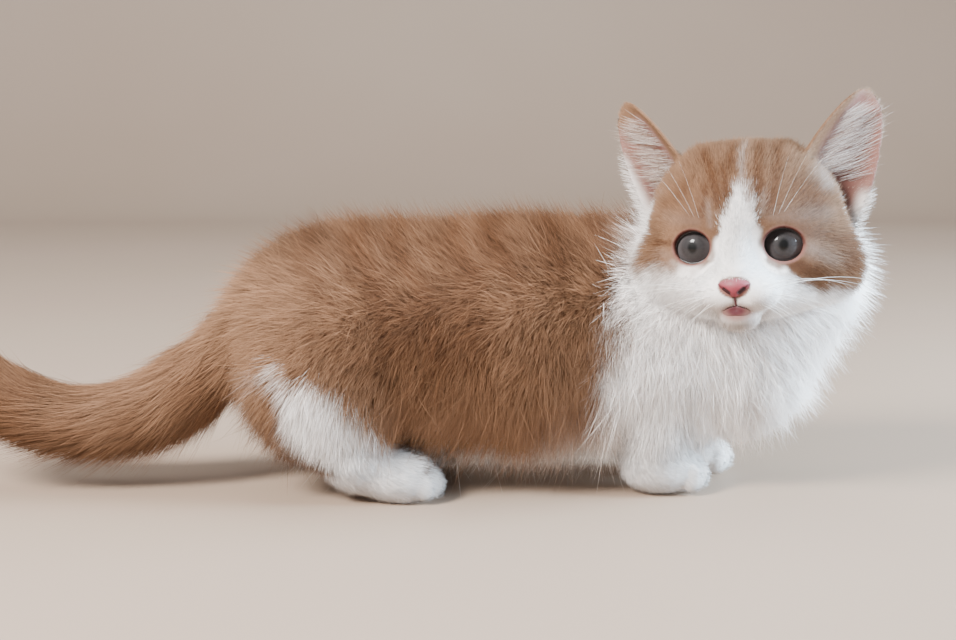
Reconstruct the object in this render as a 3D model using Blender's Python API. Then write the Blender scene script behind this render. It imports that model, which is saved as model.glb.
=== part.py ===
"""A munchkin kitten about nine weeks old, standing on its four short legs.

The body lies along X with the head at +X, and the face looks past the
kitten's right shoulder, towards -Y.  Units are metres, +Z is up and the paws
stand on Z = 0.  Every form gives the outline of the coat, out to the tips of
the hair; on bib, ruff, cheeks, belly, ears and tail the longer hair stands on
a lower core as flat tapered locks.

The animal is first one smooth solid: rounded masses that are blended into
each other as a distance field, which is then covered with faces.  Thin flat
cuts part it into head, ears, neck, chest, torso, legs and lengths of tail.
"""

import bmesh
import bpy
import numpy as np
from mathutils import Matrix, Vector

# Gap between two neighbouring solids
GAP = 0.0003

# Trunk, each mass as its centre and its three radii
RUMP = ((-0.040, 0.0, 0.0570), (0.0510, 0.0400, 0.0390))
BARREL = ((0.015, 0.0, 0.0580), (0.0580, 0.0405, 0.0400))
SHOULDERS = ((0.062, -0.001, 0.0580), (0.0450, 0.0360, 0.0400))
BIB = ((0.089, -0.003, 0.0520), (0.0325, 0.0295, 0.0330))
RUFF = ((0.097, -0.008, 0.0740), (0.0345, 0.0295, 0.0310))
HAUNCH = ((-0.052, 0.020, 0.0450), (0.0290, 0.0205, 0.0320))

# Front legs, and how far the left one leads
FRONT_LEAD = 0.0135
FRONT_ELBOW = (0.062, 0.0155, 0.0420)
FRONT_WRIST = (0.060, 0.0142, 0.0140)
FRONT_RADII = (0.0180, 0.0120)
FRONT_PAW = ((0.0640, 0.0140, 0.0080), (0.0150, 0.0112, 0.0092))

# Hind legs, from the knee to the hock and along the foot
HIND_LEAD = 0.006
HIND_KNEE = (-0.056, 0.0215, 0.0380)
HIND_HOCK = (-0.0455, 0.0230, 0.0165)
HIND_RADII = (0.0190, 0.0115)
HIND_HEEL = (-0.0405, 0.0232, 0.0125)
HIND_BALL = (-0.0260, 0.0232, 0.0085)
HIND_FOOT_RADII = (0.0108, 0.0092)
HIND_PAW = ((-0.0265, 0.0232, 0.0080), (0.0135, 0.0112, 0.0088))

# Four toes on each paw: how far they reach forward and sideways
TOE_RADII = (0.0048, 0.0034, 0.0062)
TOE_HEIGHT = 0.0066
TOE_PLACES = ((0.0085, -0.0068), (0.0115, -0.0024), (0.0115, 0.0024), (0.0085, 0.0068))
HIND_TOE_SETBACK = 0.0015

# Tail, from root to tip: x, y, z and radius
TAIL = (
    (-0.070, 0.000, 0.0600, 0.0210),
    (-0.092, 0.000, 0.0432, 0.0188),
    (-0.112, -0.001, 0.0300, 0.0174),
    (-0.134, -0.002, 0.0252, 0.0156),
    (-0.155, -0.004, 0.0294, 0.0146),
    (-0.172, -0.006, 0.0385, 0.0135),
    (-0.186, -0.007, 0.0510, 0.0112),
    (-0.195, -0.008, 0.0635, 0.0078),
    (-0.199, -0.008, 0.0760, 0.0030),
)
TAIL_STEPS = 3
# The tail's core, as a part of the radii above: the locks make up the rest
TAIL_CORE = 0.80
# Where the tail is parted, counted along the points above
TAIL_CUTS = (0.75, 2.3, 4.1, 5.9)

# Head: its middle, and how it is turned, raised and leaned, in degrees
HEAD_CENTRE = (0.0874, -0.0300, 0.0918)
HEAD_YAW = -18.0
HEAD_PITCH = 3.5
HEAD_ROLL = 3.4

# Head forms in the head's own frame: left, out of the face, up
SKULL = ((0.0, -0.0050, 0.0045), (0.0330, 0.0310, 0.0275))
CHEEK = ((0.0205, -0.0010, -0.0105), (0.0175, 0.0190, 0.0150))
JAW = ((0.0, 0.0060, -0.0170), (0.0230, 0.0200, 0.0125))
MUZZLE = ((0.0, 0.0175, -0.0165), (0.0140, 0.0150, 0.0100))
WHISKER_PAD = ((0.0060, 0.0265, -0.0188), (0.0078, 0.0072, 0.0060))
CHIN = ((0.0, 0.0235, -0.0262), (0.0072, 0.0072, 0.0048))
BRIDGE_TOP = (0.0, 0.0160, 0.0030)
BRIDGE_TIP = (0.0, 0.0300, -0.0120)
BRIDGE_RADII = (0.0085, 0.0048)
BROW_INNER = (0.0085, 0.0175, 0.0045)
BROW_OUTER = (0.0220, 0.0105, 0.0050)
BROW_RADIUS = 0.0062

# Eyes: the ball, and half the width and height of the opening in its lids
EYE_CENTRE = (0.0132, 0.0131, -0.0040)
EYE_RADIUS = 0.0080
EYE_OPENING = (0.0062, 0.0053)
LID_THICKNESS = 0.0010
GAZE = (0.16, 1.0, 0.02)
EYE_SLANT = 6.0

# Nose leather and its nostrils
NOSE = ((0.0, 0.0322, -0.0161), (0.0048, 0.0040, 0.0034))
NOSTRIL = (0.0025, 0.0366, -0.0164)
NOSTRIL_RADIUS = 0.0010

# Mouth: the line under the nose, out to both corners, and its lips
MOUTH_TOP = -0.0212
MOUTH_DROP = 0.0024
MOUTH_HALF = 0.0064
MOUTH_DEPTH = 0.0265
MOUTH_LINE = 0.0010
LIP_RADIUS = 0.0012

# Ears: root and tip of the cup, half its width, its depth and thickness
EAR_ROOT = (0.0270, -0.0070, 0.0160)
EAR_TIP = (0.0425, -0.0085, 0.0465)
EAR_FACING = (0.50, 0.86, -0.10)
EAR_HALF_WIDTH = 0.0150
EAR_CUP = 0.0078
EAR_THICKNESS = 0.0015
EAR_BELOW_ROOT = 0.40

# Where the solids are parted
EAR_PARTING = 0.0335
EAR_PARTING_SLOPE = (0.839, 0.0, 0.544)
EAR_BLOCK = (0.0400, 0.0440, 0.0430)
HEAD_PARTING = ((0.0, 0.0020, -0.0005), (0.0420, 0.0430, 0.0370))
NECK_PARTING = ((0.0875, 0.0, 0.0725), (0.543, 0.0, 0.840))
CHEST_START = 0.040
FRONT_LEG_BLOCK = ((0.0585, 0.0300, 0.0110), (0.0490, 0.0600, 0.0320))
HIND_LEG_BLOCK = ((-0.0595, 0.0405, 0.0013), (0.1000, 0.0600, 0.0800))
HIND_LEG_TILT = 28.4

# Locks: how deep the roots sink, how thick they are, and their rings as
# place along the lock, width and thickness
LOCK_SINK = 0.0030
LOCK_THICKNESS = 0.0020
LOCK_RINGS = ((0.0, 0.70, 1.0), (0.35, 1.0, 0.95), (0.68, 0.80, 0.75), (0.90, 0.38, 0.45))
LOCK_SAG = 0.10
SEED = 11
TAIL_LOCKS = {"first": 1.0, "last": 7.3, "rings": 9, "spacing": 0.0150, "length": 0.0210, "width": 0.0125}
BIB_AXIS = (0.080, -0.004)
BIB_ROWS = (0.086, 0.073, 0.060, 0.047, 0.035)
BIB_LOCKS = {"sweep": 100.0, "count": 8, "length": 0.0200, "width": 0.0120, "rise": 0.0036}
BELLY_LOCKS = {"first": -0.018, "last": 0.034, "count": 5, "length": 0.0160, "width": 0.0105, "rise": 0.0036}
BELLY_ANGLES = (-62.0, -22.0, 22.0, 62.0)
CHEEK_HEIGHTS = (0.003, -0.005, -0.013, -0.020)
CHEEK_LIE = (0.55, -0.70, -0.45)
CHEEK_LOCKS = {"length": 0.0120, "width": 0.0065, "rise": 0.0026}
EAR_LOCK_PLACES = ((-0.10, -0.50), (0.12, -0.62), (0.34, -0.62), (0.54, -0.50))
EAR_LOCKS = {"length": 0.0130, "width": 0.0034, "rise": 0.0030}

# Faces: the spacing of the points, and the triangles that each form keeps
TRUNK_SPACING = 0.0018
TRUNK_TRIANGLES = 3200
LEG_SPACING = 0.0010
LEG_TRIANGLES = 2500
HEAD_SPACING = 0.0007
HEAD_TRIANGLES = 4500
NOSE_SPACING = 0.0004
NOSE_TRIANGLES = 360
COARSE = 5

COLOURS = {
    "orange": ("#a3714c", 0.9),
    "white": ("#e4dcd8", 0.9),
    "iris": ("#5f5f5c", 0.1),
    "nose": ("#b47a7c", 0.5),
}


def unit(vector):
    """The vector at length one."""
    vector = np.asarray(vector, float)
    return vector / np.linalg.norm(vector)


def smooth_min(a, b, blend):
    """The lesser of two distances, with the corner between them filled."""
    h = np.clip(0.5 + 0.5 * (b - a) / blend, 0, 1)
    return b + (a - b) * h - blend * h * (1 - h)


def smooth_max(a, b, blend):
    """The greater of two distances, with the edge between them rounded."""
    return -smooth_min(-a, -b, blend)


def ellipsoid(p, mass, side=1):
    """Distance to a rounded mass; side -1 gives its mirror image in Y."""
    centre, radii = mass
    q = p - np.multiply(centre, (1, side, 1))
    near = np.sqrt(((q / radii) ** 2).sum(-1)) + 1e-9
    steep = np.sqrt(((q / np.square(radii)) ** 2).sum(-1)) + 1e-9
    return near * (near - 1) / steep


def limb(p, start, end, radii):
    """Distance to a cone with round ends."""
    start = np.asarray(start)
    along = np.asarray(end) - start
    t = np.clip(((p - start) @ along) / (along @ along), 0, 1)
    away = p - start - t[..., None] * along
    return np.sqrt((away**2).sum(-1)) - (radii[0] + (radii[1] - radii[0]) * t)


def head_axes():
    """The head's left, forward and up directions, as columns."""
    yaw, pitch, roll = np.radians((HEAD_YAW, HEAD_PITCH, HEAD_ROLL))
    forward = np.array(
        [np.sin(yaw) * np.cos(pitch), -np.cos(yaw) * np.cos(pitch), np.sin(pitch)]
    )
    left = unit(np.cross((0, 0, 1), forward))
    up = np.cross(forward, left)
    leaned_left = np.cos(roll) * left + np.sin(roll) * up
    leaned_up = np.cos(roll) * up - np.sin(roll) * left
    return np.stack([leaned_left, forward, leaned_up], 1)


HEAD_AXES = head_axes()


def to_head(p):
    """World points in the head's frame."""
    return (p - HEAD_CENTRE) @ HEAD_AXES


def from_head(q):
    """Points in the head's frame as world points."""
    return HEAD_CENTRE + np.asarray(q) @ HEAD_AXES.T


def eye_axes(side):
    """Across, up and gaze of one eye, as columns in the head's frame."""
    gaze = unit(np.multiply(GAZE, (side, 1, 1)))
    up = unit(np.array((0, 0, 1)) - gaze * gaze[2])
    across = np.cross(gaze, up) * -side
    slant = np.radians(EYE_SLANT)
    outward = np.cos(slant) * across + np.sin(slant) * up
    upward = np.cos(slant) * up - np.sin(slant) * across
    return np.stack([outward, upward, gaze], 1)


def trunk(p):
    """Rump, barrel, shoulders, bib and ruff."""
    d = ellipsoid(p, RUMP)
    d = smooth_min(d, ellipsoid(p, BARREL), 0.018)
    d = smooth_min(d, ellipsoid(p, SHOULDERS), 0.014)
    d = smooth_min(d, ellipsoid(p, BIB), 0.012)
    d = smooth_min(d, ellipsoid(p, RUFF), 0.012)
    for side in (-1, 1):
        d = smooth_min(d, ellipsoid(p, HAUNCH, side), 0.010)
    return d


def toes(p, d, paw, setback):
    """A paw's distance with its four toes added."""
    centre = np.array(paw[0])
    for forward, sideways in TOE_PLACES:
        place = (centre[0] + forward - setback, centre[1] + sideways, TOE_HEIGHT)
        d = smooth_min(d, ellipsoid(p, (place, TOE_RADII)), 0.0018)
    return d


def front_leg(p, lead):
    """One front leg, in a frame where it is the kitten's left one."""
    wrist = np.add(FRONT_WRIST, (lead, 0, 0))
    elbow = np.add(FRONT_ELBOW, (lead * 0.5, 0, 0))
    paw = (np.add(FRONT_PAW[0], (lead, 0, 0)), FRONT_PAW[1])
    d = limb(p, elbow, wrist, FRONT_RADII)
    d = smooth_min(d, ellipsoid(p, paw), 0.006)
    return toes(p, d, paw, 0)


def hind_leg(p, lead):
    """One hind leg, in a frame where it is the kitten's left one."""
    knee = np.add(HIND_KNEE, (lead * 0.5, 0, 0))
    hock, heel, ball = (np.add(place, (lead, 0, 0)) for place in (HIND_HOCK, HIND_HEEL, HIND_BALL))
    paw = (np.add(HIND_PAW[0], (lead, 0, 0)), HIND_PAW[1])
    d = limb(p, knee, hock, HIND_RADII)
    d = smooth_min(d, limb(p, heel, ball, HIND_FOOT_RADII), 0.006)
    d = smooth_min(d, ellipsoid(p, paw), 0.005)
    return toes(p, d, paw, HIND_TOE_SETBACK)


def legs(p):
    """All four legs; the left ones stand a little further forward."""
    mirrored = p * (1, -1, 1)
    d = smooth_min(front_leg(mirrored, 0), front_leg(p, FRONT_LEAD), 0.002)
    d = smooth_min(d, hind_leg(mirrored, 0), 0.003)
    return smooth_min(d, hind_leg(p, HIND_LEAD), 0.003)


def tail_point(place):
    """x, y, z and radius of the tail, on a smooth curve through its points."""
    points = np.array(TAIL)
    points = np.concatenate([[2 * points[0] - points[1]], points, [2 * points[-1] - points[-2]]])
    first = int(min(place, len(TAIL) - 1.001))
    t = place - first
    a, b, c, d = points[first : first + 4]
    return 0.5 * (
        2 * b
        + (c - a) * t
        + (2 * a - 5 * b + 4 * c - d) * t**2
        + (3 * b - a - 3 * c + d) * t**3
    )


def tail(p):
    """The tail as a chain of short cones."""
    places = np.linspace(0, len(TAIL) - 1, TAIL_STEPS * (len(TAIL) - 1) + 1)
    chain = [tail_point(place) for place in places]
    d = np.full(p.shape[:-1], np.inf)
    for start, end in zip(chain, chain[1:]):
        radii = (start[3] * TAIL_CORE, end[3] * TAIL_CORE)
        d = np.minimum(d, limb(p, start[:3], end[:3], radii))
    return d


def mouth_height(across):
    """Height of the mouth's line at a distance from the middle."""
    return MOUTH_TOP - MOUTH_DROP * np.clip(across / MOUTH_HALF, 0, 1.4) ** 1.3


def skull(q):
    """The head without lids, mouth and ears, in its own frame."""
    half = np.concatenate([np.abs(q[..., :1]), q[..., 1:]], -1)
    d = ellipsoid(q, SKULL)
    d = smooth_min(d, ellipsoid(half, CHEEK), 0.010)
    d = smooth_min(d, ellipsoid(q, JAW), 0.008)
    d = smooth_min(d, ellipsoid(q, MUZZLE), 0.006)
    d = smooth_min(d, limb(q, BRIDGE_TOP, BRIDGE_TIP, BRIDGE_RADII), 0.007)
    d = smooth_min(d, ellipsoid(half, WHISKER_PAD), 0.003)
    d = smooth_min(d, ellipsoid(q, CHIN), 0.003)
    return smooth_min(d, limb(half, BROW_INNER, BROW_OUTER, (BROW_RADIUS, BROW_RADIUS)), 0.006)


def lids(q, d):
    """The head's distance with lids round each eye and a slit between them."""
    for side in (-1, 1):
        e = (q - np.multiply(EYE_CENTRE, (side, 1, 1))) @ eye_axes(side)
        ball = np.sqrt((e**2).sum(-1))
        d = smooth_min(d, ball - EYE_RADIUS - LID_THICKNESS, 0.003)
        across, up = e[..., 0] / EYE_OPENING[0], e[..., 1] / EYE_OPENING[1]
        rim = (np.sqrt(across**2 + up**2) - 1) * EYE_OPENING[1]
        slit = smooth_max(rim, EYE_RADIUS * 0.5 - e[..., 2], 0.0005)
        d = smooth_max(d, -slit, 0.0009)
    return d


def mouth(q, d):
    """The head's distance with the lips and the line of the mouth."""
    across = np.abs(q[..., 0])
    height = mouth_height(across)
    beyond = np.clip(across - MOUTH_HALF, 0, None)
    sunk = np.clip(MOUTH_DEPTH - q[..., 1], 0, None)
    lip = np.stack([beyond, sunk, q[..., 2] - height + LIP_RADIUS * 1.3], -1)
    forward = np.abs(d + LIP_RADIUS * 0.3)
    lip_ridge = np.sqrt(lip[..., 0] ** 2 + lip[..., 2] ** 2 + forward**2 + lip[..., 1] ** 2) - LIP_RADIUS
    d = smooth_min(d, lip_ridge, 0.001)
    line = np.sqrt((q[..., 2] - height) ** 2 + beyond**2 + sunk**2) - MOUTH_LINE
    split_height = np.clip(np.abs(q[..., 2] - MOUTH_TOP - 0.0017) - 0.002, 0, None)
    split_sunk = np.clip(MOUTH_DEPTH + 0.0045 - q[..., 1], 0, None)
    split = np.sqrt(across**2 + split_height**2 + split_sunk**2) - MOUTH_LINE * 0.75
    d = smooth_max(d, -line, 0.0012)
    return smooth_max(d, -split, 0.0010)


def ear_axes(side):
    """Root, height, and outward, facing and up directions of one ear."""
    root, tip = (np.multiply(place, (side, 1, 1)) for place in (EAR_ROOT, EAR_TIP))
    up = unit(tip - root)
    facing = np.multiply(EAR_FACING, (side, 1, 1))
    facing = unit(facing - up * (facing @ up))
    outward = np.cross(facing, up)
    outward *= np.sign(outward[0]) * side
    return root, np.linalg.norm(tip - root), outward, facing, up


def ear(q, side):
    """A cupped leaf from the ear's root to its tip, in the head's frame."""
    root, height, outward, facing, up = ear_axes(side)
    r = q - root
    h = (r @ up) / height
    risen = np.clip(h, 0, 1)
    across = (r @ outward) / EAR_HALF_WIDTH
    # outline of the leaf: straight below the root, closing to the tip above it
    leaf = across**2 + np.clip(h, 0, None) ** 1.45 - 1
    slope_across = 2 * np.abs(across) / EAR_HALF_WIDTH
    slope_up = 1.45 * np.clip(h, 0, None) ** 0.45 / height
    outline = leaf / np.sqrt(slope_across**2 + slope_up**2 + 1e4)
    # the cup deepens towards the middle of the leaf
    half = EAR_HALF_WIDTH * np.sqrt(np.clip(1 - risen**1.45, 0.25, 1))
    u = np.clip((r @ outward) / half, -1.4, 1.4)
    depth = EAR_CUP * (1 - 0.62 * risen)
    bowl = depth * (u**2 - 0.45) - EAR_THICKNESS * risen
    steep = np.sqrt(1 + (2 * depth * u / half) ** 2)
    from_sheet = (r @ facing - bowl) / steep
    low = (-EAR_BELOW_ROOT - h) * height
    edge = np.clip(np.maximum(outline, low) + EAR_THICKNESS, 0, None)
    return np.sqrt(from_sheet**2 + edge**2) - EAR_THICKNESS


def head(q):
    """Skull, lids, mouth and ears, in the head's frame."""
    d = mouth(q, lids(q, skull(q)))
    d = smooth_min(d, ear(q, 1), 0.0035)
    return smooth_min(d, ear(q, -1), 0.0035)


def kitten(p):
    """Distance from world points to the kitten's outline."""
    d = smooth_min(trunk(p), legs(p), 0.009)
    d = smooth_min(d, tail(p), 0.012)
    return smooth_min(d, head(to_head(p)), 0.006)


def nose_leather(p, grown=0.0):
    """The nose: wide at the top and narrow at the lip, with two nostrils."""
    q = to_head(p)
    centre, radii = NOSE
    narrow = 1 + 0.45 * np.clip((centre[2] - q[..., 2]) / radii[2], -0.4, 1)
    shaped = np.concatenate([q[..., :1] * narrow[..., None], q[..., 1:]], -1)
    d = ellipsoid(shaped, NOSE) - grown
    if grown:
        return d
    half = np.concatenate([np.abs(q[..., :1]), q[..., 1:]], -1)
    hole = limb(half, NOSTRIL, np.subtract(NOSTRIL, (-0.0012, 0.003, 0)), (NOSTRIL_RADIUS, NOSTRIL_RADIUS))
    return smooth_max(d, -hole, 0.0004)


def sample(field, low, high, spacing):
    """Values of a field on a grid, worked out finely only near its surface."""
    low, high = np.asarray(low, float), np.asarray(high, float)
    block = spacing * COARSE
    counts = np.ceil((high - low) / block).astype(int)
    corners = np.stack(np.meshgrid(*(np.arange(n) for n in counts), indexing="ij"), -1)
    middles = low + (corners + 0.5 - 0.5 / COARSE) * block
    rough = field(middles)
    near = np.abs(rough) < block * 1.5 + spacing
    shape = (counts[0], COARSE, counts[1], COARSE, counts[2], COARSE)
    values = np.broadcast_to(
        rough[:, None, :, None, :, None], shape
    ).copy()
    steps = np.stack(np.meshgrid(*([np.arange(COARSE)] * 3), indexing="ij"), -1) * spacing
    places = np.argwhere(near)
    for part in np.array_split(places, len(places) // 2000 + 1):
        points = (low + part * block)[:, None, None, None, :] + steps
        values[part[:, 0], :, part[:, 1], :, part[:, 2], :] = field(points)
    return values.reshape(counts * COARSE)


def blur(values, axis):
    """Each value mixed with both neighbours along an axis, to soften slits."""
    padded = np.concatenate([values.take([0], axis), values, values.take([-1], axis)], axis)
    count = values.shape[axis]
    before, after = padded.take(range(count), axis), padded.take(range(2, count + 2), axis)
    return 0.25 * before + 0.5 * values + 0.25 * after


def cover(values, low, spacing):
    """Points and four-sided faces of the surface where a field is zero.

    Each cell that the surface crosses gets one point, at the mean of the
    places where the surface crosses the cell's edges.  Each edge of the grid
    that the surface crosses gets one face, between the four cells round it.
    """
    inside = values < 0
    cells = np.array(values.shape) - 1
    total, crossings = np.zeros((*cells, 3)), np.zeros(cells)
    for axis in range(3):
        others = [k for k in range(3) if k != axis]
        for first in (0, 1):
            for second in (0, 1):
                start = [slice(None, -1)] * 3
                start[others[0]] = slice(first, cells[others[0]] + first)
                start[others[1]] = slice(second, cells[others[1]] + second)
                end = list(start)
                end[axis] = slice(1, None)
                a, b = values[tuple(start)], values[tuple(end)]
                crossed = (a < 0) != (b < 0)
                t = np.where(crossed, a / np.where(crossed, a - b, 1), 0)
                crossings += crossed
                total[..., axis] += t
                total[..., others[0]] += crossed * first
                total[..., others[1]] += crossed * second
    used = crossings > 0
    number = np.full(cells, -1)
    number[used] = np.arange(used.sum())
    offsets = total[used] / crossings[used][:, None]
    points = np.asarray(low) + (np.argwhere(used) + offsets) * spacing
    faces = []
    for axis in range(3):
        others = [k for k in range(3) if k != axis]
        core = [slice(1, -1)] * 3
        core[axis] = slice(None, -1)
        after = list(core)
        after[axis] = slice(1, None)
        a, b = inside[tuple(core)], inside[tuple(after)]
        for leaving in (True, False):
            place = np.argwhere(a & ~b if leaving else ~a & b)
            place[:, others[0]] += 1
            place[:, others[1]] += 1
            ring = []
            for first, second in ((1, 1), (0, 1), (0, 0), (1, 0)):
                cell = place.copy()
                cell[:, others[0]] -= first
                cell[:, others[1]] -= second
                ring.append(number[cell[:, 0], cell[:, 1], cell[:, 2]])
            ring = np.stack(ring, 1)
            faces.append(ring if leaving != (axis == 1) else ring[:, ::-1])
    return points, np.concatenate(faces)


def clear_scene():
    """Remove every object, so that a second run starts from nothing."""
    for thing in list(bpy.data.objects):
        bpy.data.objects.remove(thing, do_unlink=True)


def srgb(text):
    """A hex colour as linear red, green, blue and alpha."""
    channels = [int(text[i : i + 2], 16) / 255 for i in (1, 3, 5)]
    return [c / 12.92 if c <= 0.04045 else ((c + 0.055) / 1.055) ** 2.4 for c in channels] + [1.0]


def material(name):
    """The named finish, made on its first use."""
    if name in bpy.data.materials:
        return bpy.data.materials[name]
    colour, roughness = COLOURS[name]
    made = bpy.data.materials.new(name)
    made.use_nodes = True
    shader = made.node_tree.nodes["Principled BSDF"]
    shader.inputs["Base Color"].default_value = srgb(colour)
    shader.inputs["Roughness"].default_value = roughness
    return made


def add_object(name, points, faces, finish="orange", group=None):
    """A mesh object from points and faces, in a collection if one is given."""
    mesh = bpy.data.meshes.new(name)
    mesh.from_pydata([tuple(point) for point in points], [], [tuple(face) for face in faces])
    mesh.materials.append(material(finish))
    thing = bpy.data.objects.new(name, mesh)
    (group or bpy.context.scene.collection).objects.link(thing)
    return thing


def apply_modifiers(thing):
    """Make what the modifiers show the object's own mesh."""
    shown = thing.evaluated_get(bpy.context.evaluated_depsgraph_get())
    mesh = bpy.data.meshes.new_from_object(shown)
    thing.modifiers.clear()
    thing.data = mesh


def cut(thing, tool, operation):
    """Intersect an object with a tool or take the tool away from it."""
    step = thing.modifiers.new(operation.title(), "BOOLEAN")
    step.operation = operation
    step.solver = "EXACT"
    step.object = tool
    apply_modifiers(thing)


def keep_largest(thing):
    """Drop every closed surface but the largest, and set flat soles level."""
    mesh = bmesh.new()
    mesh.from_mesh(thing.data)
    bmesh.ops.remove_doubles(mesh, verts=mesh.verts, dist=1e-6)
    bmesh.ops.dissolve_degenerate(mesh, dist=1e-6, edges=mesh.edges)
    bmesh.ops.triangulate(mesh, faces=mesh.faces)
    waiting, groups = set(mesh.faces), []
    while waiting:
        stack, group = [waiting.pop()], []
        while stack:
            face = stack.pop()
            group.append(face)
            for edge in face.edges:
                for other in edge.link_faces:
                    if other in waiting:
                        waiting.remove(other)
                        stack.append(other)
        groups.append(group)
    groups.sort(key=lambda group: -sum(face.calc_area() for face in group))
    scraps = [face for group in groups[1:] for face in group]
    bmesh.ops.delete(mesh, geom=scraps, context="FACES")
    loose = [vert for vert in mesh.verts if not vert.link_faces]
    bmesh.ops.delete(mesh, geom=loose, context="VERTS")
    for vert in mesh.verts:
        if abs(vert.co.z) < 2e-5:
            vert.co.z = 0.0
    mesh.to_mesh(thing.data)
    mesh.free()


def copy_object(thing, name):
    """A second object with its own mesh."""
    other = thing.copy()
    other.data = thing.data.copy()
    other.name = name
    bpy.context.scene.collection.objects.link(other)
    return other


def form(name, field, low, high, spacing, triangles, finish="orange"):
    """The closed surface of a field in a box, thinned to a count of triangles."""
    values = sample(field, low, high, spacing)
    for axis in range(3):
        values = blur(values, axis)
        for end in (0, -1):
            rim = [slice(None)] * 3
            rim[axis] = end
            values[tuple(rim)] = np.maximum(values[tuple(rim)], spacing)
    points, faces = cover(values, low, spacing)
    thing = add_object(name, points, faces, finish)
    thin = thing.modifiers.new("Thin", "DECIMATE")
    thin.ratio = triangles / (2 * len(faces))
    thin.use_collapse_triangulate = True
    apply_modifiers(thing)
    return thing


def on_surface(field, places, inward):
    """Where rays from outside meet a surface, and the way out of it there."""
    places = np.array(places, float)
    for _ in range(60):
        places = places + inward * field(places)[:, None] * 0.9
    probe = 1e-4 * np.eye(3)
    slope = np.stack([field(places + axis) - field(places - axis) for axis in probe], 1)
    return places, slope / np.linalg.norm(slope, axis=1)[:, None]


def lock(root, lie, out, length, width, rise):
    """Points and faces of one flat tapered lock.

    Its middle line is a curve of second degree that starts under the surface
    at the root, leaves the skin and bends back along the lie to its tip.
    """
    lie = unit(lie - out * (lie @ out))
    across = np.cross(out, lie)
    start = root - out * LOCK_SINK
    bend = root + lie * length * 0.5 + out * rise * 1.2
    tip = root + lie * length + out * rise
    points = []
    for t, wide, thick in LOCK_RINGS:
        middle = (1 - t) ** 2 * start + 2 * t * (1 - t) * bend + t**2 * tip
        side = across * width / 2 * wide
        half = out * LOCK_THICKNESS / 2 * thick
        sag = out * width * wide * LOCK_SAG
        points += [middle + side - sag, middle + half, middle - side - sag, middle - half - sag / 2]
    points.append(tip)
    faces = [(3, 2, 1, 0)]
    for ring in range(0, 4 * len(LOCK_RINGS) - 4, 4):
        faces += [(ring + k, ring + (k + 1) % 4, ring + 4 + (k + 1) % 4, ring + 4 + k) for k in range(4)]
    last = 4 * len(LOCK_RINGS) - 4
    faces += [(last + k, last + (k + 1) % 4, last + 4) for k in range(4)]
    return points, faces


def grow(field, starts, inward, lies, sizes, random):
    """One lock for each start, varied a little in length, width and lie."""
    roots, outs = on_surface(field, starts, np.asarray(inward))
    locks = []
    for root, out, lie, size in zip(roots, outs, lies, sizes):
        varied = np.multiply(size, random.uniform(0.85, 1.15, 3))
        locks.append(lock(root, unit(lie) + random.normal(0, 0.10, 3), out, *varied))
    return locks


def tail_locks(random):
    """Rings of locks round the tail, which point to its tip."""
    starts, inward, lies, sizes = [], [], [], []
    places = np.linspace(TAIL_LOCKS["first"], TAIL_LOCKS["last"], TAIL_LOCKS["rings"])
    for ring, place in enumerate(places):
        point = tail_point(place)
        along = unit(tail_point(place + 0.05)[:3] - point[:3])
        first = unit(np.array((0, 1, 0)) - along * along[1])
        second = np.cross(along, first)
        radius = point[3]
        count = max(4, round(2 * np.pi * radius * TAIL_CORE / TAIL_LOCKS["spacing"]))
        for angle in 2 * np.pi * (np.arange(count) + 0.5 * (ring % 2)) / count:
            outward = np.cos(angle) * first + np.sin(angle) * second
            starts.append(point[:3] + outward * radius * 1.3)
            inward.append(-outward)
            lies.append(along)
            rise = radius * (1 - TAIL_CORE)
            width = min(TAIL_LOCKS["width"], radius)
            sizes.append((TAIL_LOCKS["length"], width, rise))
    return grow(kitten, starts, inward, lies, sizes, random)


def bib_locks(random):
    """Rows of locks down the ruff and the bib."""
    starts, inward = [], []
    for row, height in enumerate(BIB_ROWS):
        count = BIB_LOCKS["count"] - row % 2
        sweep = np.radians(BIB_LOCKS["sweep"]) * count / BIB_LOCKS["count"]
        for angle in np.linspace(-sweep, sweep, count):
            outward = np.array((np.cos(angle), np.sin(angle), 0))
            starts.append(np.array((*BIB_AXIS, height)) + outward * 0.07)
            inward.append(-outward)
    lies = [np.array((0.1, 0, -1))] * len(starts)
    sizes = [tuple(BIB_LOCKS[key] for key in ("length", "width", "rise"))] * len(starts)
    return grow(lambda p: smooth_min(trunk(p), legs(p), 0.009), starts, inward, lies, sizes, random)


def belly_locks(random):
    """A fringe along the belly and the lower flanks."""
    starts, inward, lies = [], [], []
    for angle in np.radians(BELLY_ANGLES):
        for x in np.linspace(BELLY_LOCKS["first"], BELLY_LOCKS["last"], BELLY_LOCKS["count"]):
            outward = np.array((0, np.sin(angle), -np.cos(angle)))
            starts.append(np.array((x, 0, BARREL[0][2])) + outward * 0.06)
            inward.append(-outward)
            lies.append(np.array((-0.5, 0, -0.9)))
    sizes = [tuple(BELLY_LOCKS[key] for key in ("length", "width", "rise"))] * len(starts)
    return grow(kitten, starts, inward, lies, sizes, random)


def cheek_locks(random):
    """Tufts that point back and down from both cheeks."""
    starts, inward, lies = [], [], []
    for side in (-1, 1):
        for height in CHEEK_HEIGHTS:
            starts.append(from_head((0.055 * side, -0.008, height)))
            inward.append(HEAD_AXES @ np.array((-side, 0, 0)))
            lies.append(HEAD_AXES @ np.multiply(CHEEK_LIE, (side, 1, 1)))
    sizes = [tuple(CHEEK_LOCKS[key] for key in ("length", "width", "rise"))] * len(starts)
    return grow(lambda p: head(to_head(p)), starts, inward, lies, sizes, random)


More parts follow.
